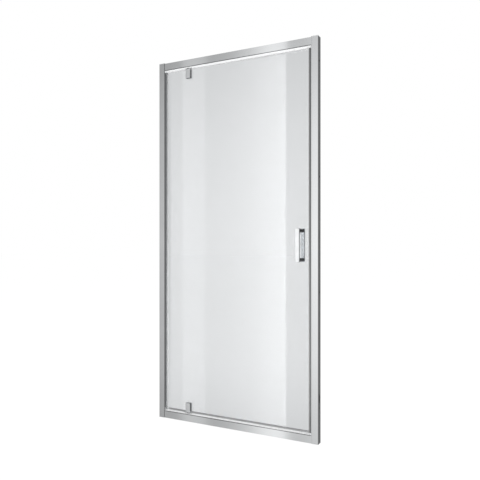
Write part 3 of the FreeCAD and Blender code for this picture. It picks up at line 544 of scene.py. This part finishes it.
def softenLong(shape, along, radius):
    # rounds the edges that run the whole length of an extrusion, where its walls meet at an angle
    length, way = along.length, along.normalized()
    wholeShare, sameWay = 0.9, 0.99          # how much of the length, and how nearly parallel
    long = []
    for edge in shape.edges:
        line = edge.verts[1].co - edge.verts[0].co
        runsAlong = line.length > wholeShare * length and abs(line.normalized().dot(way)) > sameWay
        if runsAlong and edge.is_manifold and edge.calc_face_angle(0) > sharpAngle:
            long.append(edge)
    rounded(shape, long, radius, segments=2)
    return shape


# seals: the drip seal in two runs, the hinge edge seal and the two magnet seals

glassLow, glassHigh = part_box("glass_panel")

sealShape = {                # all in mm
    "wall": 1.0,             # of the channel that clips on the glass
    "lip": 0.8,              # thickness of the lips' tips
    "flare": 1.3,            # how far the front lip's tip leans out
    "legCrown": 0.25,        # swell of the front leg's outside
    "soft": 0.22,            # rounding of every long edge
    "clearFrom": -0.1,       # start of the hinge seal's clear vinyl, from the back of the glass
}


def clipOutline(look, leg, reach, front, back):
    # (past the glass edge, front to back), with two lips that nearly wipe the frame
    wall, lip = look["wall"], look["lip"]
    outside = front - wall
    tip = outside - look["flare"]
    return [
        (-leg, outside), (-leg / 2, outside - look["legCrown"]), (wall / 2, outside),
        (reach, tip), (reach, tip + lip), (wall, front), (wall, back),
        (reach, back + wall - lip), (reach, back + wall), (wall / 2, back + wall),
        (-leg / 2, back + wall), (-leg, back + wall), (-leg, back), (0, back), (0, front), (-leg, front),
    ]


def clipSeal(node, leg, reach, place, along):
    # a profile clipped on the glass edge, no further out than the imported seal
    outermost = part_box(node)[0].y / mm
    outline = clipOutline(sealShape, leg, reach, glassLow.y / mm, glassHigh.y / mm)
    outline = [(past, max(across, outermost)) for past, across in outline]
    shape = softenLong(extruded(outline, place, along), along, sealShape["soft"] * mm)
    return finishPiece(node + "_profile", shape, node)


def dripSeal(node):
    low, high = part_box(node)
    edge = glassLow.z / mm
    clipSeal(node, high.z / mm - edge, edge - low.z / mm,
             lambda past, across: (low.x, across * mm, (edge - past) * mm), Vector((high.x - low.x, 0, 0)))


def hingeSeal(node):
    low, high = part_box(node)
    edge = glassLow.x / mm
    piece = clipSeal(node, high.x / mm - edge, edge - low.x / mm,
                     lambda past, across: ((edge - past) * mm, across * mm, low.z),
                     Vector((0, 0, high.z - low.z)))
    piece.data.materials.append(clearVinyl)
    clearFrom = glassHigh.y + sealShape["clearFrom"] * mm
    for face in piece.data.polygons:         # the stiff leg behind the glass is clear
        face.material_index = int(face.center.y > clearFrom)


dripSeal("drip_seal_long")
dripSeal("drip_seal_short")
hingeSeal("hinge_edge_seal")

magnetSealShape = {          # all in mm
    "wall": 0.8,             # round the magnet strip
    "play": 0.05,            # strip to its bay
    "finSlot": 1.4,          # slot that takes the jamb's fin
    "grooveDepth": 0.35,     # shadow line down the front, where soft and stiff vinyl meet
    "grooveWidth": 0.7,
    "grooveInset": 5.4,      # from the side where the two seals meet
    "soft": 0.3,
}


def magnetSeal(node, strip, toGlass):
    # toGlass is the side that holds the glass or the jamb's fin: -1 is left, 1 is right
    look = magnetSealShape
    low, high = (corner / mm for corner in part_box(node))
    stripLow, stripHigh = (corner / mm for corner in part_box(strip))
    play = look["play"]
    bay = [(stripLow.x - play, stripLow.y - play), (stripHigh.x + play, stripLow.y - play),
           (stripHigh.x + play, stripHigh.y + play), (stripLow.x - play, stripHigh.y + play)]
    if toGlass < 0:
        far, mouth, slotDeep = high.x, low.x, glassHigh.x / mm
        slotFront, slotBack = glassLow.y / mm, glassHigh.y / mm
    else:
        far, mouth, slotDeep = low.x, high.x, stripHigh.x + play + look["wall"]
        middle = (glassLow.y + glassHigh.y) / 2 / mm
        slotFront, slotBack = middle - look["finSlot"] / 2, middle + look["finSlot"] / 2
    groove = far + toGlass * look["grooveInset"]
    half = toGlass * look["grooveWidth"] / 2
    outline = [
        (far, low.y), (groove - half, low.y), (groove, low.y + look["grooveDepth"]), (groove + half, low.y),
        (mouth, low.y), (mouth, slotFront), (slotDeep, slotFront), (slotDeep, slotBack), (mouth, slotBack),
        (mouth, high.y), (far, high.y),
    ]
    along = Vector((0, 0, (high.z - low.z) * mm))
    shape = extruded(outline, lambda x, y: (x * mm, y * mm, low.z * mm), along, [bay])
    piece = finishPiece(node + "_profile", softenLong(shape, along, look["soft"] * mm), node)
    piece.data.materials.append(clipVinyl)
    for face in piece.data.polygons:         # the clip on the glass or fin is the paler of the two vinyls
        face.material_index = int(toGlass * (face.center.x / mm - groove) > 0)


magnetSeal("door_magnet_holder", "door_magnet_strip", -1)
magnetSeal("strike_magnet_holder", "strike_magnet_strip", 1)
print("seals")


# screws

screwDetail = {              # all in mm, except the first two
    "socketRoom": 1.18,      # open rim round a socket, in half widths of it, clear of a hexagon's corners
    "crossArm": 0.125,       # half a cross's arm, in widths of the cross
    "headEdge": 0.12,        # flat edge of a countersunk head
    "neck": 0.1,             # below the cone of the head
    "point": 0.4,            # chamfer at the tip
}


def socketRim(across):
    return across / 2 * screwDetail["socketRoom"]


def cutSocket(shape, across, depth, corners=6):
    # a hexagon or, with four corners, a cross sunk from the open rim round the middle of a screw head
    grown = bmesh.ops.extrude_edge_only(shape, edges=openEdgesIn(shape.edges))["geom"]
    part = fullTurn / corners
    for vert in vertsIn(grown):
        turn = math.atan2(vert.co.y, vert.co.x)
        away = (turn + part / 2) % part - part / 2
        if corners == 6:
            radius = across / 2 / math.cos(away)
        else:
            arm, sideways = screwDetail["crossArm"], abs(math.sin(away))
            radius = across * arm / sideways if sideways > 2 * arm else across / 2
        vert.co.x, vert.co.y = radius * mm * math.cos(turn), radius * mm * math.sin(turn)
    sunk = bmesh.ops.extrude_edge_only(shape, edges=openEdgesIn(grown))["geom"]
    bmesh.ops.translate(shape, verts=vertsIn(sunk), vec=(0, 0, -depth * mm))
    bmesh.ops.edgeloop_fill(shape, edges=openEdgesIn(sunk))
    return shape


def flatScrew(radius, headRadius, length, across, depth, corners=6):
    # head flush at zero, shank down from it
    edge, point = screwDetail["headEdge"], screwDetail["point"]
    underHead = radius - headRadius - screwDetail["neck"]
    shape = turnedShape([
        (socketRim(across), 0), (headRadius - edge, 0), (headRadius, -edge), (radius, underHead),
        (radius, point - length), (radius - point, -length), (0, -length),
    ])
    return cutSocket(shape, across, depth, corners)


# pivot blocks with their gaskets and screws, and the screws of the holders in the rails

blockShape = {               # all in mm
    "cornerRadius": 2.5,     # upright edges of the outer face
    "rimRadius": 0.8,        # end away from the rail
    "edgeRadius": 0.25,      # end at the rail
    "screwRadius": 2.4,
    "headRadius": 4.6,
    "socketWidth": 3.0,
    "socketDepth": 2.0,
    "clearance": 0.05,       # round a screw in the back half
    "drillDepth": 12,        # right through a back half
    "pinBore": 4.05,
    "pinDepth": 17,
    "gasketCorner": 1.5,
    "gasketClearance": 0.25,
    "gasketDrill": 3,        # right through a gasket
}


def screwPlaces(end):
    # heights of the two screws through the glass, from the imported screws
    low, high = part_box(f"{end}_block_screws")
    head = blockShape["headRadius"] * mm
    return [low.z + head, high.z - head]


def pivotBlock(end, which):
    look = blockShape
    node = f"{end}_block_{which}"
    low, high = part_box(node)
    middle = (low.x + high.x) / 2
    face, seat = (low.y, high.y) if which == "front" else (high.y, low.y)
    near, far, up = (low.z, high.z, 1) if end == "bottom" else (high.z, low.z, -1)

    shape = boxShape(low, high)
    upright = edgesWhere(shape, lambda a, b: abs(a.z - b.z) > tiny and bothAt(a, b, "y", face))
    rounded(shape, upright, look["cornerRadius"] * mm, segments=6)
    rim = edgesWhere(shape, lambda a, b: bothAt(a, b, "z", far) and not bothAt(a, b, "y", seat))
    rounded(shape, rim, look["rimRadius"] * mm)
    foot = edgesWhere(shape, lambda a, b: bothAt(a, b, "z", near))
    rounded(shape, foot, look["edgeRadius"] * mm, segments=2)

    if which == "front":
        pinLow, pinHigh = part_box(f"{end}_pivot_pin")
        start = Vector((middle, (pinLow.y + pinHigh.y) / 2, near))
        cutter = placed(boreCutter(look["pinBore"], look["pinDepth"], steps=40), start, (0, 0, up))
        finish = blockMetal
    else:
        head, shank = look["headRadius"] + look["clearance"], look["screwRadius"] + look["clearance"]
        sink = [(0, -cutterLead), (head, -cutterLead), (head, 0), (shank, head - shank),
                (shank, look["drillDepth"]), (0, look["drillDepth"])]
        cutter = joined([placed(turnedShape(sink, steps=40), Vector((middle, face, height)), (0, -1, 0))
                         for height in screwPlaces(end)])
        finish = chromePlate
    finishPiece(node + "_body", combined(shape, cutter, "DIFFERENCE"), node, finish)


def blockScrews(end):
    look = blockShape
    node = f"{end}_block_screws"
    low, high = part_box(node)
    middle, length = (low.x + high.x) / 2, (high.y - low.y) / mm
    screws = []
    for height in screwPlaces(end):
        screw = flatScrew(look["screwRadius"], look["headRadius"], length,
                          look["socketWidth"], look["socketDepth"])
        screws.append(placed(screw, Vector((middle, high.y, height)), (0, 1, 0)))
    finishPiece(node + "_turned", joined(screws), node)


def blockGasket(end, which):
    look = blockShape
    node = f"{end}_gasket_{which}"
    low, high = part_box(node)
    shape = boxShape(low, high)
    corners = edgesWhere(shape, lambda a, b: abs(a.y - b.y) > tiny)
    rounded(shape, corners, look["gasketCorner"] * mm)
    hole = look["screwRadius"] + look["gasketClearance"]
    middle, deep = (low.x + high.x) / 2, look["gasketDrill"]
    cutter = joined([placed(boreCutter(hole, deep, steps=32), Vector((middle, low.y, height)), (0, 1, 0))
                     for height in screwPlaces(end)])
    finishPiece(node + "_pad", combined(shape, cutter, "DIFFERENCE"), node)


holderScrewShape = {"radius": 2.0, "headRadius": 3.5, "across": 3.4, "depth": 1.1}     # mm


def holderScrews(end):
    look = holderScrewShape
    node = f"{end}_holder_screws"
    low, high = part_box(node)
    outside, up = (high.z, 1) if end == "bottom" else (low.z, -1)
    head, length = look["headRadius"] * mm, (high.z - low.z) / mm
    screws = []
    for across in (low.x + head, high.x - head):
        screw = flatScrew(look["radius"], look["headRadius"], length,
                          look["across"], look["depth"], corners=4)
        screws.append(placed(screw, Vector((across, (low.y + high.y) / 2, outside)), (0, 0, up)))
    finishPiece(node + "_turned", joined(screws), node)


for end in ("top", "bottom"):
    for which in ("front", "back"):
        pivotBlock(end, which)
        blockGasket(end, which)
    blockScrews(end)
    holderScrews(end)
print("pivot blocks")


# handle: a bar and two posts on each side of the glass, with washers and grub screws

handleShape = {                      # all in mm
    "cornerRadius": 3.0,             # of a bar's ends, seen from in front
    "faceRadius": 1.2,               # round its outer face
    "seatRadius": 0.4,               # round the face on the posts
    "postGrooves": (5.0, 9.0),       # from the bar
    "grooveDepth": 0.5,
    "postEdge": 0.6,
    "washerEdge": 0.3,
    "studClearance": 0.1,
    "grubRadius": 1.5,
    "grubClearance": 0.05,
    "grubBore": 10,                  # from the bar's side in to the stud
    "grubSocket": 1.5,
    "grubSocketDepth": 1.2,
    "grubEdge": 0.15,
    "grubPoint": 0.5,
}
studLow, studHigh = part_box("handle_studs")
studMiddle, studRadius = (studLow.x + studHigh.x) / 2, (studHigh.x - studLow.x) / 2
studHeights = (studLow.z + studRadius, studHigh.z - studRadius)


def handleBar(which):
    look = handleShape
    node = f"handle_bar_{which}"
    low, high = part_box(node)
    shape = boxShape(low, high)
    corners = edgesWhere(shape, lambda a, b: abs(a.y - b.y) > tiny)
    rounded(shape, corners, look["cornerRadius"] * mm, segments=6)
    outer, seat = (low.y, high.y) if which == "front" else (high.y, low.y)
    for level, radius, segments in ((outer, look["faceRadius"], 5), (seat, look["seatRadius"], 2)):
        rim = edgesWhere(shape, lambda a, b: bothAt(a, b, "y", level))
        rounded(shape, rim, radius * mm, segments)
    if which == "back":
        hole, middle = look["grubRadius"] + look["grubClearance"], (low.y + high.y) / 2
        holes = [placed(boreCutter(hole, look["grubBore"]), Vector((low.x, middle, height)), (1, 0, 0))
                 for height in studHeights]
        shape = combined(shape, joined(holes), "DIFFERENCE")
    finishPiece(node + "_body", shape, node)


def ringProfile(radius, length, edge, grooves=(), deep=0.0):
    # a tube round the handle's studs, with rounded rims and any V grooves
    bore = studRadius / mm + handleShape["studClearance"]
    shoulder = 0.3 * edge            # how far in the middle of a rim's rounding lies
    profile = [(bore, 0), (radius - edge, 0), (radius - shoulder, shoulder), (radius, edge)]
    for groove in grooves:
        profile += [(radius, groove - deep), (radius - deep, groove), (radius, groove + deep)]
    return profile + [(radius, length - edge), (radius - shoulder, length - shoulder),
                      (radius - edge, length), (bore, length), (bore, 0)]


def handlePost(which, level):
    look = handleShape
    node = f"handle_post_{which}_{level}"
    low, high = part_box(node)
    radius, length = (high.x - low.x) / 2 / mm, (high.y - low.y) / mm
    profile = ringProfile(radius, length, look["postEdge"], look["postGrooves"], look["grooveDepth"])
    start, away = (low.y, 1) if which == "front" else (high.y, -1)
    foot = Vector(((low.x + high.x) / 2, start, (low.z + high.z) / 2))
    shape = placed(turnedShape(profile, steps=56), foot, (0, away, 0))
    finishPiece(node + "_turned", shape, node, smokedChrome)


def handleWashers(which):
    node = f"handle_washers_{which}"
    low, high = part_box(node)
    radius, thick = (high.x - low.x) / 2 / mm, (high.y - low.y) / mm
    profile = ringProfile(radius, thick, handleShape["washerEdge"])
    rings = [placed(turnedShape(profile, steps=56), Vector((studMiddle, low.y, height)), (0, 1, 0))
             for height in studHeights]
    finishPiece(node + "_moulded", joined(rings), node)


def grubScrews():
    look = handleShape
    node = "handle_grub_screws"
    low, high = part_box(node)
    radius, length, across = look["grubRadius"], (high.x - low.x) / mm, look["grubSocket"]
    edge, point = look["grubEdge"], look["grubPoint"]
    profile = [(socketRim(across), 0), (radius - edge, 0), (radius, -edge),
               (radius, point - length), (radius - point, -length), (0, -length)]
    screws = []
    for height in studHeights:
        screw = cutSocket(turnedShape(profile, steps=36), across, look["grubSocketDepth"])
        screws.append(placed(screw, Vector((low.x, (low.y + high.y) / 2, height)), (-1, 0, 0)))
    finishPiece(node + "_turned", joined(screws), node)


for which in ("front", "back"):
    handleBar(which)
    handleWashers(which)
    for level in ("upper", "lower"):
        handlePost(which, level)
grubScrews()
print("handle")


# caps over the adjuster screws and on top of the posts

capShape = {                             # all in mm, except the turns
    "domeRise": 0.5,
    "domeTurns": (0, 25, 50, 70, 80),    # degrees up the dome
    "adjusterWall": 0.9,
    "edgeRadius": 0.8,                   # round the top of a post's cap
    "footRadius": 0.2,
    "sideEdge": 0.5,                     # an edge taller than this is a corner of the plate
    "plugOverlap": 1.0,                  # of the plug into the plate
}


def adjusterCaps(side):
    node = f"adjuster_caps_{side}"
    low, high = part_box(node)
    thick, outer = (high.y - low.y) / mm, (high.x - low.x) / 2 / mm
    rise, wall, foot = capShape["domeRise"], capShape["adjusterWall"], capShape["footRadius"]
    dome = [(outer * math.cos(turn), thick - rise + rise * math.sin(turn))
            for turn in map(math.radians, capShape["domeTurns"])]
    inside = outer - wall
    profile = [(inside, 0), (outer - foot, 0), (outer, foot), *dome, (0, thick),
               (0, thick - wall), (inside, thick - wall - rise / 2), (inside, 0)]
    heights = [low.z + outer * mm, (low.z + high.z) / 2, high.z - outer * mm]
    caps = [placed(turnedShape(profile), Vector(((low.x + high.x) / 2, low.y, height)), (0, 1, 0))
            for height in heights]
    finishPiece(node + "_moulded", joined(caps), node)


def postCap(side):
    node = f"post_cap_{side}"
    low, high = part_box(node)
    plateLow = Vector((low.x, low.y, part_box("wall_channel_left")[1].z))
    shape = boxShape(plateLow, high)
    rim = edgesWhere(shape, lambda a, b: bothAt(a, b, "z", high.z))
    rounded(shape, rim, capShape["edgeRadius"] * mm, segments=5)
    tall = capShape["sideEdge"] * mm
    upright = edgesWhere(shape, lambda a, b: abs(a.z - b.z) > tall and abs(a.x - b.x) < tiny)
    rounded(shape, upright, capShape["footRadius"] * mm, segments=2)
    # the plug's own box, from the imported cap's lowest corners
    deep = [vert.co for vert in nodes[node].data.vertices if vert.co.z < low.z + tiny]
    plugTop = plateLow.z + capShape["plugOverlap"] * mm
    plugLow = Vector((min(co.x for co in deep), min(co.y for co in deep), low.z))
    plugHigh = Vector((max(co.x for co in deep), max(co.y for co in deep), plugTop))
    finishPiece(node + "_plate", combined(shape, boxShape(plugLow, plugHigh), "UNION"), node)


for side in ("left", "right"):
    adjusterCaps(side)
    postCap(side)
print("caps")


# white studio, whose bands the metal and the glass reflect

studio = {
    "white": 1.0,                # what the camera sees behind the door
    "fill": 0.85,                # what lights the matt surfaces
    "frontBands": [              # brightness by the angle left of straight ahead, in degrees
        (15, 0.95), (20, 1.38), (21.3, 1.15), (22.9, 1.17), (23.15, 1.88), (24.7, 1.84),
        (25.4, 1.70), (26.8, 1.31), (28.9, 0.99), (31.0, 0.84), (31.5, 1.14), (33.6, 1.15),
        (34.0, 0.80), (36, 0.74), (41, 0.72),
    ],
    "roundBands": [              # the same, all the way round
        (-180, 0.9), (-168, 0.5), (-163, 0.2), (-160, 0.2), (-159, 0.5), (-157, 0.55), (-155, 0.35),
        (-148, 0.22), (-142, 0.3), (-134, 0.5), (-118, 0.55), (-95, 0.6), (-60, 1.0), (-25, 0.95),
        (-8, 0.6), (8, 0.6), (15, 0.95), (41, 0.72), (60, 0.75), (90, 0.6), (118, 0.65), (135, 0.8),
        (165, 0.9), (180, 0.9),
    ],
    "glassBands": [              # what the glass adds from its far face
        (15, 0), (23.05, 0), (23.15, 5.6), (24.7, 3.9), (26.8, 2.25), (28.9, 1.1), (31.4, 0.2),
        (31.5, 1.8), (33.7, 1.8), (33.8, 0), (41, 0),
    ],
    "glassGlow": [               # and all over, by how steeply the ray climbs or falls
        (0, 4.9), (0.08, 4.6), (0.16, 3.75), (0.213, 2.9), (0.286, 1.3), (0.33, 0.2), (0.4, 0), (1, 0),
    ],
    "glowFrom": -20,             # degrees right of straight ahead where that glow has died away
    "heightFade": [              # brightness by height, in front
        (-0.60, 0.75), (-0.36, 0.64), (-0.2, 0.88), (0, 1.0), (0.2, 0.88), (0.36, 0.64), (0.60, 0.75),
    ],
    "backFade": [                # behind the door, to the left
        (-1, 0.25), (-0.35, 0.3), (-0.15, 0.45), (-0.05, 0.95), (0.05, 0.95), (0.15, 0.45),
        (0.35, 0.3), (1, 0.25),
    ],
    "backRight": 0.8,            # behind the door, to the right, at every height
    "sideBlend": 0.25,           # right gives way to left between straight back and this far aside
    "shownThroughGlass": 1.6,    # what metal behind the pane reflects, as the pane dims it twice
    "floorGlow": 0.9,
    "floorTone": 0.12,
    "floorRadius": 40,
    "floorGap": 0.5,             # mm under the door
}


def rampOf(tree, value, stops, low, high):
    # brightness along a row of (place, brightness) stops, as a socket
    peak = max(level for _, level in stops)
    node = addNode(tree, "ValToRGB", None, Fac=remap(tree, value, low, high, 0, 1))
    elements = node.color_ramp.elements
    for index, (place, level) in enumerate(stops):
        at = (place - low) / (high - low)
        element = elements[index] if index < 2 else elements.new(at)
        element.position = at
        element.color = (level / peak, level / peak, level / peak, 1)
    return calculate(tree, "MULTIPLY", node.outputs[0], peak)


def choose(tree, factor, first, second):
    # first where the factor is 0, second where it is 1
    node = addNode(tree, "Mix", {"data_type": "FLOAT"}, _0=factor, _2=first, _3=second)
    return node.outputs[0]


def afterReflection(tree, rays):
    # 1 for a ray that has left a glossy face, else 0
    return calculate(tree, "GREATER_THAN", rays.outputs["Glossy Depth"], 0.5)


def makeWorld(look):
    world = bpy.data.worlds.new("whiteStudio")
    bpy.context.scene.world = world
    world.use_nodes = True
    tree = world.node_tree
    tree.nodes.clear()
    direction = addNode(tree, "TexCoord").outputs["Generated"]
    parts = addNode(tree, "SeparateXYZ", None, _0=direction)
    left = calculate(tree, "MULTIPLY", parts.outputs[0], -1.0)
    front = calculate(tree, "MULTIPLY", parts.outputs[1], -1.0)
    slope = parts.outputs[2]
    degrees = calculate(tree, "MULTIPLY", calculate(tree, "ARCTAN2", left, front), math.degrees(1))

    bandLow, bandHigh = look["frontBands"][0][0], look["frontBands"][-1][0]
    offMiddle = calculate(tree, "ABSOLUTE", calculate(tree, "SUBTRACT", degrees, (bandLow + bandHigh) / 2))
    inBand = calculate(tree, "LESS_THAN", offMiddle, (bandHigh - bandLow) / 2)
    frontLevel = rampOf(tree, degrees, look["frontBands"], bandLow, bandHigh)
    roundLevel = rampOf(tree, degrees, look["roundBands"], -180, 180)
    frontFade = rampOf(tree, slope, look["heightFade"], -1, 1)
    backFade = rampOf(tree, slope, look["backFade"], -1, 1)
    behind = calculate(tree, "LESS_THAN", front, 0.0)
    toLeft = remap(tree, left, 0, look["sideBlend"], 0, 1)
    level = choose(tree, inBand, roundLevel, frontLevel)
    fade = choose(tree, behind, frontFade, choose(tree, toLeft, look["backRight"], backFade))
    reflected = calculate(tree, "MULTIPLY", level, fade)

    glow = rampOf(tree, calculate(tree, "ABSOLUTE", slope), look["glassGlow"], 0, 1)
    bands = rampOf(tree, degrees, look["glassBands"], bandLow, bandHigh)
    farFace = calculate(tree, "ADD", glow, calculate(tree, "MULTIPLY", bands, inBand))

    rays = addNode(tree, "LightPath")
    bounced = afterReflection(tree, rays)
    onePane = 2.5                # a ray crosses two faces in one pane, and a third only in the next
    oncePassed = calculate(tree, "LESS_THAN", rays.outputs["Transmission Depth"], onePane)
    towardFront = calculate(tree, "MULTIPLY", calculate(tree, "GREATER_THAN", front, 0.0),
                            remap(tree, degrees, look["glowFrom"], 0, 0, 1))
    fromGlass = calculate(tree, "MULTIPLY", oncePassed, towardFront)
    lifted = calculate(tree, "MULTIPLY", reflected, choose(tree, oncePassed, look["shownThroughGlass"], 1.0))
    through = choose(tree, bounced, look["white"], choose(tree, fromGlass, lifted, farFace))
    colour = choose(tree, rays.outputs["Is Diffuse Ray"], reflected, look["fill"])
    colour = choose(tree, rays.outputs["Is Transmission Ray"], colour, through)
    colour = choose(tree, rays.outputs["Is Camera Ray"], colour, look["white"])
    background = addNode(tree, "Background", None, Color=colour)
    output = tree.nodes.new("ShaderNodeOutputWorld")
    tree.links.new(background.outputs[0], output.inputs[0])


def makeFloor(look):
    shape = bmesh.new()
    bmesh.ops.create_circle(shape, cap_ends=True, segments=64, radius=look["floorRadius"])
    floor = linked("studioFloor", shape)
    material = bpy.data.materials.new("studioFloor")
    material.use_nodes = True
    tree = material.node_tree
    tree.nodes.clear()
    matt = addNode(tree, "BsdfDiffuse", None, Color=(look["floorTone"],) * 3 + (1,))
    glow = addNode(tree, "Emission", None, Strength=look["floorGlow"])
    both = addNode(tree, "AddShader", None, _0=matt.outputs[0], _1=glow.outputs[0])
    clear = addNode(tree, "BsdfTransparent")     # reflections show the studio's bands, not the floor
    bounced = afterReflection(tree, addNode(tree, "LightPath"))
    shown = addNode(tree, "MixShader", None, _0=bounced, _1=both.outputs[0], _2=clear.outputs[0])
    output = tree.nodes.new("ShaderNodeOutputMaterial")
    tree.links.new(shown.outputs[0], output.inputs[0])
    floor.data.materials.append(material)
    floor.data.transform(Matrix.Translation((0, 0, cadBox[0].z - look["floorGap"] * mm)))
    floor.visible_glossy = False


makeWorld(studio)
makeFloor(studio)

softLights = {
    "overhead": {"at": (0.1, -0.5, 4.0), "toward": (0, 0, 0), "size": (2.6, 1.6), "watts": 90},
    "behind": {"at": (0.8, 2.6, 3.4), "toward": (0, 0, 0.95), "size": (2.5, 2.0), "watts": 30},
    "bounce": {"at": (0.1, -0.9, 0.03), "toward": (0, 0, 1.9), "size": (2.2, 0.8), "watts": 65},
}
for name, setting in softLights.items():
    light = bpy.data.lights.new(name, "AREA")
    light.shape = "RECTANGLE"
    light.size, light.size_y = setting["size"]
    light.energy = setting["watts"]
    lamp = bpy.data.objects.new(name, light)
    lamp.location = setting["at"]
    lamp.rotation_euler = (Vector(setting["toward"]) - lamp.location).to_track_quat("-Z", "Y").to_euler()
    lamp.visible_glossy = False
    lamp.visible_camera = False
    lamp.visible_transmission = False
    bpy.context.scene.collection.objects.link(lamp)
print("studio")


# camera, where the photograph was taken from

cameraPlace = {
    "beside": 0.3614,        # right post's front corner, right of the lens axis, in metres
    "ahead": 2.566,          # and in front of the lens
    "height": 0.9335,
    "turn": 27.83,           # degrees round to the door's right
    "lens": 41.55,
    "sensor": 36,
    "rise": 0.0072,          # lens shift, in frame widths
}


def makeCamera(place):
    turn = math.radians(place["turn"])
    sideways = Vector((math.cos(turn), math.sin(turn), 0))
    ahead = Vector((-math.sin(turn), math.cos(turn), 0))
    corner = Vector((wallSide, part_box("wall_channel_right")[0].y, 0))
    data = bpy.data.cameras.new("photoView")
    data.lens = place["lens"]
    data.sensor_width = place["sensor"]
    data.shift_y = place["rise"]
    camera = bpy.data.objects.new("photoView", data)
    camera.location = corner - sideways * place["beside"] - ahead * place["ahead"]
    camera.location.z = place["height"]
    camera.rotation_euler = (math.radians(90), 0, turn)
    bpy.context.scene.collection.objects.link(camera)
    bpy.context.scene.camera = camera


makeCamera(cameraPlace)
bpy.context.scene.view_settings.view_transform = "Standard"
print("camera")
